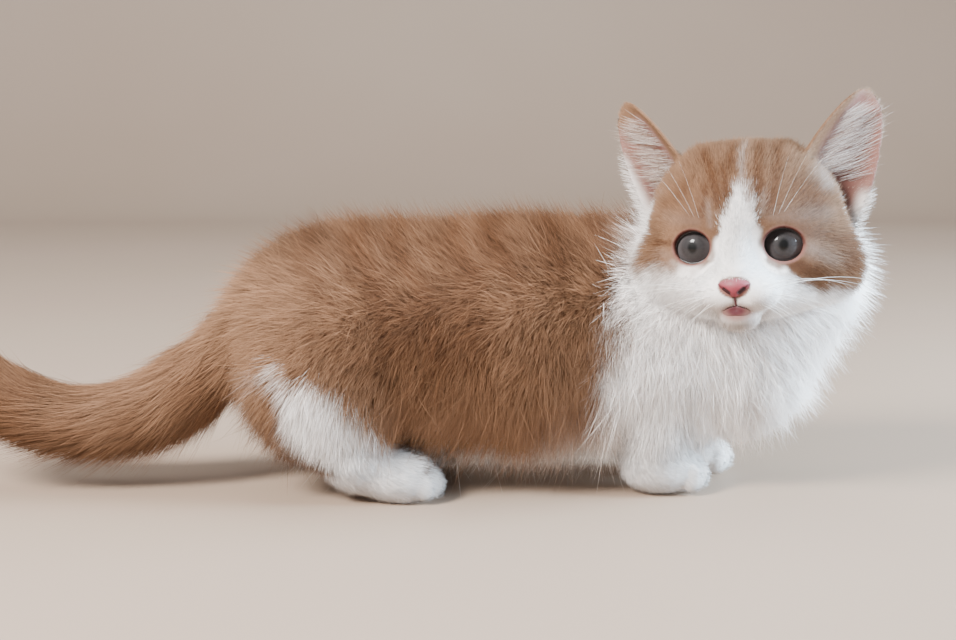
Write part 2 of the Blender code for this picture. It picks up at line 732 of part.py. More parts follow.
def ear_locks(random):
    """Thin locks that cross the cup of each ear from its inner edge."""
    starts, inward, lies = [], [], []
    for side in (-1, 1):
        root, height, outward, facing, up = ear_axes(side)
        for risen, across in EAR_LOCK_PLACES:
            place = root + up * risen * height + outward * across * EAR_HALF_WIDTH + facing * 0.012
            starts.append(from_head(place))
            inward.append(HEAD_AXES @ -facing)
            lies.append(HEAD_AXES @ (outward + 0.7 * up))
    sizes = [tuple(EAR_LOCKS[key] for key in ("length", "width", "rise"))] * len(starts)
    return grow(lambda p: head(to_head(p)), starts, inward, lies, sizes, random)


def fuse(thing, locks):
    """Join the locks to the form that they grow from."""
    group = bpy.data.collections.new("locks")
    bpy.context.scene.collection.children.link(group)
    for points, faces in locks:
        piece = add_object("lock", points, faces, group=group)
        mesh = bmesh.new()
        mesh.from_mesh(piece.data)
        bmesh.ops.recalc_face_normals(mesh, faces=mesh.faces)
        mesh.to_mesh(piece.data)
        mesh.free()
    join = thing.modifiers.new("Join", "BOOLEAN")
    join.operation = "UNION"
    join.solver = "EXACT"
    join.operand_type = "COLLECTION"
    join.collection = group
    apply_modifiers(thing)
    for piece in list(group.objects):
        bpy.data.objects.remove(piece, do_unlink=True)
    bpy.data.collections.remove(group)


def frame_matrix(origin, axes):
    """A matrix from an origin and three directions in columns."""
    matrix = Matrix([list(row) for row in axes]).to_4x4()
    matrix.translation = Vector(origin)
    return matrix


def block(centre, size, axes, grown):
    """A box as a cutting tool, larger by the given amount on every side."""
    sides = np.add(size, 2 * grown)
    mesh = bmesh.new()
    bmesh.ops.create_cube(mesh, size=1, matrix=Matrix.Diagonal((*sides, 1)))
    return finish_tool(mesh, frame_matrix(centre, axes))


def ball(centre, radii, axes, grown, rings=10):
    """A rounded cutting tool, larger by the given amount."""
    mesh = bmesh.new()
    scale = Matrix.Diagonal((*np.add(radii, grown), 1))
    bmesh.ops.create_uvsphere(mesh, u_segments=2 * rings, v_segments=rings, radius=1, matrix=scale)
    return finish_tool(mesh, frame_matrix(centre, axes))


def finish_tool(mesh, matrix):
    """Place a tool's mesh in the world and make it an object."""
    bmesh.ops.transform(mesh, matrix=matrix, verts=mesh.verts)
    bmesh.ops.recalc_face_normals(mesh, faces=mesh.faces)
    data = bpy.data.meshes.new("tool")
    mesh.to_mesh(data)
    mesh.free()
    tool = bpy.data.objects.new("tool", data)
    bpy.context.scene.collection.objects.link(tool)
    return tool


def facing_axes(direction):
    """Three axes whose first one has the given direction."""
    first = unit(direction)
    second = unit(np.cross((0, 0, 1), first)) if abs(first[2]) < 0.99 else np.array((0.0, 1.0, 0.0))
    return np.stack([first, second, np.cross(first, second)], 1)


def beyond_plane(point, normal, width, grown):
    """A block that starts at a plane and reaches along its normal."""
    axes = facing_axes(normal)
    centre = np.asarray(point) + axes[:, 0] * width / 2
    return block(centre, (width, width, width), axes, grown)


def part_off(thing, make_tool, name, finish="orange"):
    """Cut a new object out of another, with the gap left between them."""
    piece = copy_object(thing, name)
    tool = make_tool(0.0)
    cut(piece, tool, "INTERSECT")
    bpy.data.objects.remove(tool, do_unlink=True)
    clear_away(thing, make_tool)
    piece.data.materials.clear()
    piece.data.materials.append(material(finish))
    return piece


def clear_away(thing, make_tool):
    """Take a tool, grown by the gap, away from an object."""
    tool = make_tool(GAP)
    cut(thing, tool, "DIFFERENCE")
    bpy.data.objects.remove(tool, do_unlink=True)


def head_tool(grown):
    """The rounded parting between head and neck."""
    centre, radii = HEAD_PARTING
    return ball(from_head(centre), radii, HEAD_AXES, grown, rings=12)


def ear_tool(side):
    """The flat parting under one ear."""
    slope = np.multiply(EAR_PARTING_SLOPE, (side, 1, 1))

    def make(grown):
        axes = facing_axes(slope)
        middle = slope * (EAR_PARTING + EAR_BLOCK[0] / 2)
        return block(from_head(middle), EAR_BLOCK, HEAD_AXES @ axes, grown)

    return make


def eye_tool(side):
    """The ball of one eye."""

    def make(grown):
        centre = from_head(np.multiply(EYE_CENTRE, (side, 1, 1)))
        radii = (EYE_RADIUS,) * 3
        return ball(centre, radii, HEAD_AXES @ eye_axes(side), grown)

    return make


def leg_tool(place, size, side, tilt=0.0):
    """The block round one leg; side 1 is the kitten's left."""
    turn = np.radians(tilt)
    axes = np.array(
        [[np.cos(turn), 0, np.sin(turn)], [0, 1, 0], [-np.sin(turn), 0, np.cos(turn)]]
    )

    def make(grown):
        return block(np.multiply(place, (1, side, 1)), size, axes, grown)

    return make


def tail_tool(place):
    """The rest of the tail beyond one place along it."""
    point, ahead = tail_point(place), tail_point(place + 0.01)

    def make(grown):
        return beyond_plane(point[:3], ahead[:3] - point[:3], 0.26, grown)

    return make


def neck_tool(grown):
    """Everything above and before the slanted parting of neck and chest."""
    return beyond_plane(*NECK_PARTING, 0.16, grown)


def chest_tool(grown):
    """Everything before the upright parting of chest and torso."""
    return beyond_plane((CHEST_START, 0, 0.05), (1, 0, 0), 0.16, grown)


def floor_tool(grown):
    """What lies below the floor, which needs no gap."""
    return beyond_plane((0, 0, -grown), (0, 0, -1), 0.5, grown)


def head_nodes():
    """Head, ears, eyes and nose."""
    centre = np.array(HEAD_CENTRE)
    low, high = centre - (0.062, 0.056, 0.052), centre + (0.064, 0.056, 0.062)
    whole = form("head", kitten, low, high, HEAD_SPACING, HEAD_TRIANGLES, "white")
    random = np.random.default_rng(SEED)
    fuse(whole, cheek_locks(random) + ear_locks(random))
    nodes = []
    for side, name in ((-1, "right"), (1, "left")):
        nodes.append(part_off(whole, ear_tool(side), f"ear_{name}"))
    face = part_off(whole, head_tool, "head_face", "white")
    bpy.data.objects.remove(whole, do_unlink=True)
    face.name = "head"
    for side, name in ((-1, "right"), (1, "left")):
        clear_away(face, eye_tool(side))
        eye = eye_tool(side)(0.0)
        eye.name = f"eye_{name}"
        eye.data.materials.append(material("iris"))
        nodes.append(eye)
    middle = from_head(NOSE[0])
    reach = np.full(3, 0.009)
    box = (middle - reach, middle + reach, NOSE_SPACING)
    socket = form("socket", lambda p: nose_leather(p, GAP), *box, NOSE_TRIANGLES)
    cut(face, socket, "DIFFERENCE")
    bpy.data.objects.remove(socket, do_unlink=True)
    nodes.append(form("nose", nose_leather, *box, NOSE_TRIANGLES, "nose"))
    return nodes + [face]


def leg_nodes():
    """The four legs, with flat soles."""
    whole = form(
        "legs", kitten, (-0.104, -0.056, -0.006), (0.112, 0.056, 0.070), LEG_SPACING, LEG_TRIANGLES
    )
    clear_away(whole, floor_tool)
    clear_away(whole, tail_tool(TAIL_CUTS[0]))
    nodes = []
    for side, name in ((-1, "right"), (1, "left")):
        nodes.append(part_off(whole, front_tool(side), f"front_leg_{name}", "white"))
        nodes.append(part_off(whole, hind_tool(side), f"hind_leg_{name}", "white"))
    bpy.data.objects.remove(whole, do_unlink=True)
    return nodes


def front_tool(side):
    """The block round one front leg, which ends half a gap from the middle."""
    lead = FRONT_LEAD if side > 0 else 0.0
    place = np.add(FRONT_LEG_BLOCK[0], (lead / 2, GAP / 2, 0))
    return leg_tool(place, np.add(FRONT_LEG_BLOCK[1], (lead, 0, 0)), side)


def hind_tool(side):
    """The slanted block round one hind leg and its haunch."""
    return leg_tool(*HIND_LEG_BLOCK, side, HIND_LEG_TILT)


def trunk_nodes():
    """Torso, chest, neck and the lengths of the tail."""
    torso = form(
        "torso", kitten, (-0.215, -0.056, -0.006), (0.146, 0.056, 0.142), TRUNK_SPACING, TRUNK_TRIANGLES
    )
    random = np.random.default_rng(SEED)
    fuse(torso, tail_locks(random) + bib_locks(random) + belly_locks(random))
    clear_away(torso, head_tool)
    for side in (-1, 1):
        clear_away(torso, ear_tool(side))
    nodes = []
    names = ("tail_root", "tail_middle", "tail_end", "tail_tip")
    rest = part_off(torso, tail_tool(TAIL_CUTS[0]), names[0])
    nodes.append(rest)
    for place, name in zip(TAIL_CUTS[1:], names[1:]):
        rest = part_off(rest, tail_tool(place), name)
        nodes.append(rest)
    for side in (-1, 1):
        clear_away(torso, front_tool(side))
        clear_away(torso, hind_tool(side))
    nodes.append(part_off(torso, neck_tool, "neck", "white"))
    nodes.append(part_off(torso, chest_tool, "chest", "white"))
    return nodes + [torso]


def centre_nodes(nodes):
    """Move all nodes so that their common box is centred over the origin."""
    corners = np.array([vert.co for node in nodes for vert in node.data.vertices])
    middle = (corners.min(0) + corners.max(0)) / 2
    for node in nodes:
        node.data.transform(Matrix.Translation((-middle[0], -middle[1], 0)))


def main():
    """Build the kitten."""
    clear_scene()
    nodes = head_nodes() + leg_nodes() + trunk_nodes()
    for node in nodes:
        keep_largest(node)
        node.data.shade_smooth()
        node.data.set_sharp_from_angle(angle=0.6)
    centre_nodes(nodes)


main()
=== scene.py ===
# %% [markdown]
# # A munchkin kitten in its coat
#
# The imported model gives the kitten's solid parts.  This notebook dresses it:
# one bare skin under the coat, about 340,000 fine tufts that follow the lie of
# the hair, wet eyes with thin lids, a soft nose, ears, lips and whiskers.
#
# Lengths are metres.  X runs along the body to the head, Y to the kitten's
# left and Z up; the paws stand on Z = 0.

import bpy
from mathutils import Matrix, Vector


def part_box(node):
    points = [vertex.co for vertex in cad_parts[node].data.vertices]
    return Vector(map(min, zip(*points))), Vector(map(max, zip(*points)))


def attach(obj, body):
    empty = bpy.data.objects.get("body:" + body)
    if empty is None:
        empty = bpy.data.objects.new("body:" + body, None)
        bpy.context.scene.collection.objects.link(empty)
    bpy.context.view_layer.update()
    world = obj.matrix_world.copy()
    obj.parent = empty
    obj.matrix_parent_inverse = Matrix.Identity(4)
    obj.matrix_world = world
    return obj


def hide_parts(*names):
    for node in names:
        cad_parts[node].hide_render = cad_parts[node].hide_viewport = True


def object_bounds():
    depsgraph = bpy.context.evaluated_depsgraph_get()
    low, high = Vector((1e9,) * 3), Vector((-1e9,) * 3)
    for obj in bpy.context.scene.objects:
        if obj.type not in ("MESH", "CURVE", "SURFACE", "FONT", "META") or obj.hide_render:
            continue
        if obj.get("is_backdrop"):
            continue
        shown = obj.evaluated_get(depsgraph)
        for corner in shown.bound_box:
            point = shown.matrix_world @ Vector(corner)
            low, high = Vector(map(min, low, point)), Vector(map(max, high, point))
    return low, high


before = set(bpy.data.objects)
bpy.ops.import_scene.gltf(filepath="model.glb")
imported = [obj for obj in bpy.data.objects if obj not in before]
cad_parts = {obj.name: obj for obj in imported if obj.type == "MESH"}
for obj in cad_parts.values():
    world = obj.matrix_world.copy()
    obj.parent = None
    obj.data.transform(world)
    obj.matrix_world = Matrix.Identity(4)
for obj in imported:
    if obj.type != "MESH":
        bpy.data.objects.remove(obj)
CAD_BOX = [list(corner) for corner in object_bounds()]
print("nodes:", ", ".join(sorted(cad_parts)))
print("box in mm:", [[round(1000 * c, 1) for c in corner] for corner in CAD_BOX])

import bpy
import numpy as np
from mathutils import Vector

RANDOM = np.random.default_rng(7)

# %% [markdown]
# ## Sizes
#
# The outline of the coat, out to its tips, is a set of rounded masses in the
# model's own place.  The bare skin lies under it by the coat's depth.  A mass
# is its middle and its three radii; left and right share their sizes.

# %% Named sizes of body, legs and tail
RUMP = ((-0.040, 0.0, 0.0570), (0.0510, 0.0400, 0.0390))
BARREL = ((0.015, 0.0, 0.0565), (0.0580, 0.0410, 0.0415))
SHOULDERS = ((0.062, -0.001, 0.0580), (0.0450, 0.0360, 0.0400))
BIB = ((0.090, -0.003, 0.0520), (0.0320, 0.0350, 0.0365))
RUFF = ((0.098, -0.008, 0.0740), (0.0370, 0.0320, 0.0340))
HAUNCH = ((-0.052, 0.020, 0.0450), (0.0290, 0.0205, 0.0320))
FRONT_LEAD = 0.0135
FRONT_ELBOW = (0.062, 0.0155, 0.0420)
FRONT_WRIST = (0.060, 0.0142, 0.0140)
FRONT_RADII = (0.0180, 0.0120)
FRONT_PAW = ((0.0640, 0.0140, 0.0080), (0.0150, 0.0112, 0.0092))
HIND_LEAD = 0.006
HIND_KNEE = (-0.056, 0.0215, 0.0380)
HIND_HOCK = (-0.0455, 0.0230, 0.0165)
HIND_RADII = (0.0190, 0.0115)
HIND_HEEL = (-0.0405, 0.0232, 0.0125)
HIND_BALL = (-0.0260, 0.0232, 0.0085)
HIND_FOOT_RADII = (0.0108, 0.0092)
HIND_PAW = ((-0.0265, 0.0232, 0.0080), (0.0135, 0.0112, 0.0088))
TOE_RADII = (0.0048, 0.0034, 0.0062)
TOE_HEIGHT = 0.0066
TOE_PLACES = ((0.0085, -0.0068), (0.0115, -0.0024), (0.0115, 0.0024), (0.0085, 0.0068))
HIND_TOE_SETBACK = 0.0015
# Tail: x, y, z and radius out to the tips
TAIL = (
    (-0.070, 0.000, 0.0600, 0.0210),
    (-0.092, 0.000, 0.0432, 0.0188),
    (-0.112, -0.001, 0.0300, 0.0174),
    (-0.134, -0.002, 0.0252, 0.0156),
    (-0.155, -0.004, 0.0294, 0.0146),
    (-0.172, -0.006, 0.0385, 0.0135),
    (-0.186, -0.007, 0.0510, 0.0112),
    (-0.195, -0.008, 0.0635, 0.0078),
    (-0.199, -0.008, 0.0760, 0.0030),
)
# Depth of the coat over the skin, where it changes, and the bare tail's share
TRUNK_DEPTH = 0.0062
BIB_DEPTH = 0.0085
BIB_RANGE = (0.055, 0.095)
LEG_DEPTH = 0.0042
PAW_DEPTH = 0.0013
PAW_RANGE = (0.012, 0.040)
TAIL_BARE = 0.48

# %% Named sizes of the head
HEAD_CENTRE = (0.0874, -0.0300, 0.0918)
HEAD_YAW, HEAD_PITCH, HEAD_ROLL = -18.0, 3.5, 3.4
SKULL = ((0.0, -0.0050, 0.0045), (0.0330, 0.0310, 0.0275))
CHEEK = ((0.0205, -0.0010, -0.0105), (0.0175, 0.0190, 0.0150))
JAW = ((0.0, 0.0060, -0.0170), (0.0230, 0.0200, 0.0125))
MUZZLE = ((0.0, 0.0175, -0.0165), (0.0140, 0.0150, 0.0100))
WHISKER_PAD = ((0.0060, 0.0265, -0.0188), (0.0078, 0.0072, 0.0060))
CHIN = ((0.0, 0.0235, -0.0262), (0.0072, 0.0072, 0.0048))
BRIDGE_TOP = (0.0, 0.0160, 0.0030)
BRIDGE_TIP = (0.0, 0.0300, -0.0120)
BRIDGE_RADII = (0.0085, 0.0048)
BROW_INNER = (0.0085, 0.0175, 0.0045)
BROW_OUTER = (0.0220, 0.0105, 0.0050)
BROW_RADIUS = 0.0062
EYE_CENTRE = (0.0132, 0.0131, -0.0040)
EYE_RADIUS = 0.0080
CORNEA_BULGE = 0.00035
EYE_OPENING = (0.0062, 0.0053)
LID_THICKNESS = 0.0009
LID_RIM_RADIUS = 0.00045
GAZE = (0.16, 1.0, 0.02)
EYE_SLANT = 6.0
NOSE = ((0.0, 0.0322, -0.0161), (0.0048, 0.0040, 0.0034))
NOSTRIL_INNER = (0.0016, -0.0180)
NOSTRIL_OUTER = (0.0031, -0.0168)
NOSE_WING = (0.0050, -0.0154)
NOSTRIL_RADIUS = 0.00045
MOUTH_MIDDLE = (0, 0.031, -0.019)
MOUTH_TOP = -0.0226
MOUTH_DROP = 0.0024
MOUTH_HALF = 0.0060
MOUTH_GROOVE = 0.0004
SPLIT_GROOVE = 0.0005
SPLIT_HALF = 0.002
EAR_ROOT = (0.0270, -0.0070, 0.0160)
EAR_TIP = (0.0425, -0.0085, 0.0465)
EAR_FACING = (0.50, 0.86, -0.10)
EAR_HALF_WIDTH = 0.0150
EAR_NARROWER = 0.0020
EAR_POWER, EAR_SLOPE_POWER = 1.45, 0.45
EAR_CUP = 0.0078
EAR_CUP_LOST = 0.62
EAR_CUP_REST = 0.45
EAR_THICKNESS = 0.0008
EAR_BELOW_ROOT = 0.40
FACE_DEPTH, CHEEK_DEEPER, NAPE_DEEPER = 0.0012, 0.0010, 0.0022

# %% [markdown]
# ## Shapes as distances
#
# Each form is a function that gives the distance from a point to its surface,
# less than zero inside.  Two forms flow into each other when the lesser of
# their distances is taken with the corner between them filled.


# %% Basic forms
def unit(vectors):
    """Vectors divided by their own lengths."""
    vectors = np.asarray(vectors, float)
    return vectors / (np.linalg.norm(vectors, axis=-1, keepdims=True) + 1e-12)


def ramp(values, start, end):
    """From 0 at start to 1 at end, level at both: t squared times 3 less 2 t."""
    t = np.clip((values - start) / (end - start), 0, 1)
    return t * t * (3 - 2 * t)


def merge(a, b, blend):
    """The lesser distance, less a quarter of the blend where both are equal."""
    h = np.clip(0.5 + 0.5 * (b - a) / blend, 0, 1)
    return b + (a - b) * h - blend * h * (1 - h)


def carve(a, b, blend):
    """The greater distance, with the edge between the two rounded."""
    return -merge(-a, -b, blend)


def mass(p, form, side=1):
    """Near an ellipsoid: scaled distance k times k less 1, over its slope."""
    centre, radii = form
    q = p - np.multiply(centre, (1, side, 1))
    near = np.sqrt(((q / radii) ** 2).sum(-1)) + 1e-9
    steep = np.sqrt(((q / np.square(radii)) ** 2).sum(-1)) + 1e-9
    return near * (near - 1) / steep


def limb(p, start, end, radii):
    """Distance to the nearest point of a line, less the radius there."""
    start = np.asarray(start)
    along = np.asarray(end) - start
    t = np.clip(((p - start) @ along) / (along @ along), 0, 1)
    away = p - start - t[..., None] * along
    return np.sqrt((away**2).sum(-1)) - (radii[0] + (radii[1] - radii[0]) * t)


def halved(q):
    """Points moved to the left half by the size of their first coordinate."""
    return np.concatenate([np.abs(q[..., :1]), q[..., 1:]], -1)


# %% [markdown]
# The head has a frame of its own: left, out of the face, and up.  It is turned
# to the kitten's right, a little raised and leaned.  Eyes and ears have their
# own frames in it, so that each is shaped once and mirrored.


# %% Frames of head, eyes and ears
def head_axes():
    """Left, forward and up of the head as columns, from its three angles."""
    yaw, pitch, roll = np.radians((HEAD_YAW, HEAD_PITCH, HEAD_ROLL))
    forward = np.array([np.sin(yaw) * np.cos(pitch), -np.cos(yaw) * np.cos(pitch), np.sin(pitch)])
    left = unit(np.cross((0, 0, 1), forward))
    up = np.cross(forward, left)
    leaned_left = np.cos(roll) * left + np.sin(roll) * up
    leaned_up = np.cos(roll) * up - np.sin(roll) * left
    return np.stack([leaned_left, forward, leaned_up], 1)


HEAD_AXES = head_axes()


def to_head(p):
    """Model points in the head's frame."""
    return (p - HEAD_CENTRE) @ HEAD_AXES


def from_head(q):
    """Points of the head's frame in the model's."""
    return HEAD_CENTRE + np.asarray(q, float) @ HEAD_AXES.T


def eye_axes(side):
    """Outward, up and gaze of one eye as columns in the head's frame."""
    gaze = unit(np.multiply(GAZE, (side, 1, 1)))
    up = unit(np.array((0, 0, 1)) - gaze * gaze[2])
    across = np.cross(gaze, up) * -side
    slant = np.radians(EYE_SLANT)
    outward = np.cos(slant) * across + np.sin(slant) * up
    upward = np.cos(slant) * up - np.sin(slant) * across
    return np.stack([outward, upward, gaze], 1)


def to_eye(q, side):
    """Head points in one eye's frame, measured from the ball's middle."""
    return (q - np.multiply(EYE_CENTRE, (side, 1, 1))) @ eye_axes(side)


def from_eye(e, side):
    """Points of one eye's frame in the model's."""
    return from_head(np.multiply(EYE_CENTRE, (side, 1, 1)) + e @ eye_axes(side).T)


def openings(e):
    """Distance from the gaze as a multiple of the opening between the lids."""
    return np.hypot(e[..., 0] / EYE_OPENING[0], e[..., 1] / EYE_OPENING[1])


def ear_axes(side):
    """Root, height, and outward, facing and up directions of one ear."""
    inset = EAR_NARROWER if side < 0 else 0.0
    places = (np.subtract(EAR_ROOT, (inset, 0, 0)), EAR_TIP)
    root, tip = (np.multiply(place, (side, 1, 1)) for place in places)
    up = unit(tip - root)
    facing = np.multiply(EAR_FACING, (side, 1, 1))
    facing = unit(facing - up * (facing @ up))
    outward = np.cross(facing, up)
    outward *= np.sign(outward[0]) * side
    return root, np.linalg.norm(tip - root), outward, facing, up


def ear_half(h, side, least=0.05):
    """Half an ear's width at a height: root of 1 less height to the power 1.45."""
    width = EAR_HALF_WIDTH - (EAR_NARROWER if side < 0 else 0.0)
    return width * np.sqrt(np.clip(1 - np.clip(h, 0, 1) ** EAR_POWER, least, 1))


def ear_cup(h):
    """Depth of an ear's cup, which flattens evenly with height."""
    return EAR_CUP * (1 - EAR_CUP_LOST * np.clip(h, 0, 1))


def on_ear(q, side):
    """Height on an ear in ear heights, and place across it, 1 at the edge."""
    root, height, outward, _, up = ear_axes(side)
    h = ((q - root) @ up) / height
    return h, ((q - root) @ outward) / ear_half(h, side)


low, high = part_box("eye_left")
SHIFT = (np.array(low) + np.array(high)) / 2 - from_head(EYE_CENTRE)
print("the packed model is moved by", np.round(1000 * SHIFT, 2), "mm")


# %% [markdown]
# A kitten's trunk is a few soft masses that run into each other.  Each leg is
# a tapered limb with a paw and four toes, and the tail a chain of short cones
# along a smooth curve, so the pose is set by a handful of places.

# %% Body, legs and tail
TRUNK_FORMS = ((BARREL, 0.018), (SHOULDERS, 0.014), (BIB, 0.012), (RUFF, 0.012))


def trunk(p):
    """Rump, barrel, shoulders, bib, ruff and both haunches."""
    d = mass(p, RUMP)
    for form, blend in TRUNK_FORMS:
        d = merge(d, mass(p, form), blend)
    for side in (-1, 1):
        d = merge(d, mass(p, HAUNCH, side), 0.010)
    return d


def with_toes(p, d, paw, setback):
    """A paw's distance merged with its four toes."""
    for forward, sideways in TOE_PLACES:
        place = (paw[0][0] + forward - setback, paw[0][1] + sideways, TOE_HEIGHT)
        d = merge(d, mass(p, (place, TOE_RADII)), 0.0008)
    return d


def front_leg(p, lead):
    """Upper leg, paw and toes, as the kitten's left one."""
    paw = (np.add(FRONT_PAW[0], (lead, 0, 0)), FRONT_PAW[1])
    elbow, wrist = np.add(FRONT_ELBOW, (lead * 0.5, 0, 0)), np.add(FRONT_WRIST, (lead, 0, 0))
    d = merge(limb(p, elbow, wrist, FRONT_RADII), mass(p, paw), 0.006)
    return with_toes(p, d, paw, 0)


def hind_leg(p, lead):
    """Thigh, hock, foot and toes, as the kitten's left one."""
    paw = (np.add(HIND_PAW[0], (lead, 0, 0)), HIND_PAW[1])
    knee = np.add(HIND_KNEE, (lead * 0.5, 0, 0))
    hock, heel, ball = (np.add(place, (lead, 0, 0)) for place in (HIND_HOCK, HIND_HEEL, HIND_BALL))
    d = merge(limb(p, knee, hock, HIND_RADII), limb(p, heel, ball, HIND_FOOT_RADII), 0.006)
    return with_toes(p, merge(d, mass(p, paw), 0.005), paw, HIND_TOE_SETBACK)


def four_legs(p):
    """Each leg's distance; the left ones stand a little further forward."""
    mirrored = p * (1, -1, 1)
    front = front_leg(mirrored, 0), front_leg(p, FRONT_LEAD)
    return *front, hind_leg(mirrored, 0), hind_leg(p, HIND_LEAD)


def tail_points(places):
    """x, y, z and radius on a smooth curve of third degree through TAIL."""
    places = np.clip(np.asarray(places, float), 0, len(TAIL) - 1.001)
    knots = np.array(TAIL)
    knots = np.concatenate([[2 * knots[0] - knots[1]], knots, [2 * knots[-1] - knots[-2]]])
    first = places.astype(int)
    t = (places - first)[..., None]
    a, b, c, d = (knots[first + k] for k in range(4))
    square, cube = 2 * a - 5 * b + 4 * c - d, 3 * b - a - 3 * c + d
    return 0.5 * (2 * b + (c - a) * t + square * t**2 + cube * t**3)


def tail_ahead(places):
    """Direction of the tail's middle line, towards its tip."""
    return unit(tail_points(places + 0.05)[:, :3] - tail_points(places - 0.05)[:, :3])


TAIL_CHAIN = tail_points(np.linspace(0, len(TAIL) - 1, 3 * (len(TAIL) - 1) + 1))
print("tail:", len(TAIL_CHAIN) - 1, "short cones")


def tail(p, share):
    """Nearest of a chain of short cones, with a share of the tail's radius."""
    d = np.full(p.shape[:-1], np.inf)
    for start, end in zip(TAIL_CHAIN, TAIL_CHAIN[1:]):
        d = np.minimum(d, limb(p, start[:3], end[:3], (start[3] * share, end[3] * share)))
    return d


# %% [markdown]
# A cat's face has hardly any coat between the eyes and on the muzzle, and a
# deep one on the cheeks and the back of the head.  The skin keeps to that.


# %% Head
def coat_depth(q):
    """Depth of the coat on the head, least at the eyes, nose and mouth."""
    depth = FACE_DEPTH + CHEEK_DEEPER * ramp(q[..., 1], 0.022, 0.004)
    depth += NAPE_DEEPER * ramp(q[..., 1], 0.010, -0.012)
    beside_eye = ramp(np.linalg.norm(halved(q) - EYE_CENTRE, axis=-1), 0.0090, 0.0150)
    beside_mouth = ramp(np.linalg.norm(q - MOUTH_MIDDLE, axis=-1), 0.004, 0.014)
    return depth * (0.12 + 0.88 * beside_eye) * (0.3 + 0.7 * beside_mouth)


def skull(q):
    """The head without lids, mouth and ears, out to the tips of its coat."""
    half = halved(q)
    d = merge(mass(q, SKULL), mass(half, CHEEK), 0.010)
    d = merge(merge(d, mass(q, JAW), 0.008), mass(q, MUZZLE), 0.006)
    d = merge(d, limb(q, BRIDGE_TOP, BRIDGE_TIP, BRIDGE_RADII), 0.007)
    d = merge(merge(d, mass(half, WHISKER_PAD), 0.003), mass(q, CHIN), 0.003)
    return merge(d, limb(half, BROW_INNER, BROW_OUTER, (BROW_RADIUS, BROW_RADIUS)), 0.006)


def lids(q, d):
    """Lids round each eyeball, and the opening between them."""
    for side in (-1, 1):
        e = to_eye(q, side)
        ball = np.sqrt((e**2).sum(-1))
        d = merge(d, ball - EYE_RADIUS - LID_THICKNESS, 0.003)
        rim = (openings(e) - 1) * EYE_OPENING[1]
        d = carve(d, -carve(rim, EYE_RADIUS * 0.5 - e[..., 2], 0.0005), 0.0007)
    return d


def mouth_height(across):
    """Height of the mouth's line: it falls with distance to the power 1.3."""
    return MOUTH_TOP - MOUTH_DROP * np.clip(across / MOUTH_HALF, 0, 1.4) ** 1.3


def mouth(q, d):
    """The groove of the mouth and of the split above it."""
    across = np.abs(q[..., 0])
    beyond = np.clip(across - 0.6 * MOUTH_HALF, 0, None)
    sunk = np.clip(0.0265 - q[..., 1], 0, None)
    line = np.sqrt((q[..., 2] - mouth_height(across)) ** 2 + beyond**2 + sunk**2) - MOUTH_GROOVE
    height = np.clip(np.abs(q[..., 2] - MOUTH_TOP - 0.0017) - SPLIT_HALF, 0, None)
    sunk = np.clip(0.031 - q[..., 1], 0, None)
    split = np.sqrt(across**2 + height**2 + sunk**2) - SPLIT_GROOVE
    return carve(carve(d, -line, 0.0006), -split, 0.0006)


def ear(q, side):
    """A cupped leaf: width shrinks with height to the power 1.45."""
    root, height, outward, facing, up = ear_axes(side)
    r = q - root
    h = (r @ up) / height
    width = float(ear_half(0, side))
    across = (r @ outward) / width
    above = np.clip(h, 0, None)
    leaf = across**2 + above**EAR_POWER - 1
    slope = np.hypot(2 * np.abs(across) / width, EAR_POWER * above**EAR_SLOPE_POWER / height)
    outline = leaf / np.hypot(slope, 100)
    half = ear_half(h, side, 0.25)
    u = np.clip((r @ outward) / half, -1.4, 1.4)
    depth = ear_cup(h)
    bowl = depth * (u**2 - EAR_CUP_REST) - EAR_THICKNESS * np.clip(h, 0, 1)
    from_sheet = (r @ facing - bowl) / np.sqrt(1 + (2 * depth * u / half) ** 2)
    edge = np.clip(np.maximum(outline, (-EAR_BELOW_ROOT - h) * height) + 0.0015, 0, None)
    return np.sqrt(from_sheet**2 + edge**2) - EAR_THICKNESS


def skin(p):
    """Distance to the bare skin of the whole kitten."""
    d = trunk(p) + TRUNK_DEPTH + (BIB_DEPTH - TRUNK_DEPTH) * ramp(p[..., 0], *BIB_RANGE)
    depth = PAW_DEPTH + (LEG_DEPTH - PAW_DEPTH) * ramp(p[..., 2], *PAW_RANGE)
    front_right, front_left, hind_right, hind_left = four_legs(p)
    legs = merge(merge(front_right, front_left, 0.002), merge(hind_right, hind_left, 0.003), 0.003)
    d = merge(merge(d, legs + depth, 0.009), tail(p, TAIL_BARE), 0.010)
    q = to_head(p)
    face = mouth(q, lids(q, skull(q) + coat_depth(q)))
    face = merge(merge(face, ear(q, 1), 0.0030), ear(q, -1), 0.0030)
    return merge(d, face, 0.006)


# %% [markdown]
# ## From distances to a mesh
#
# The field is read on a grid whose steps are short at the head and longer at
# the body.  Every cell that the surface crosses gets one point, and every
# crossed edge of the grid one face between its four cells.  It is the way in
# which a scanner's volume is turned into a surface.

# %% Sampling and covering
# Grid lines in a block, blocks worked out at once, and the two steps
COARSE, AT_ONCE = 4, 4000
FINE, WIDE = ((0.0006, 0.0014))


def grid_lines(low, high, fine_from, fine_to):
    """Places along one axis: fine steps between two values, wide outside."""
    places = [low]
    while places[-1] < high:
        gap = max(fine_from - places[-1], places[-1] - fine_to, 0)
        places.append(places[-1] + min(WIDE, FINE + 0.12 * gap))
    spare = -len(places) % COARSE
    places += [places[-1] + WIDE * (k + 1) for k in range(spare)]
    return np.array(places)


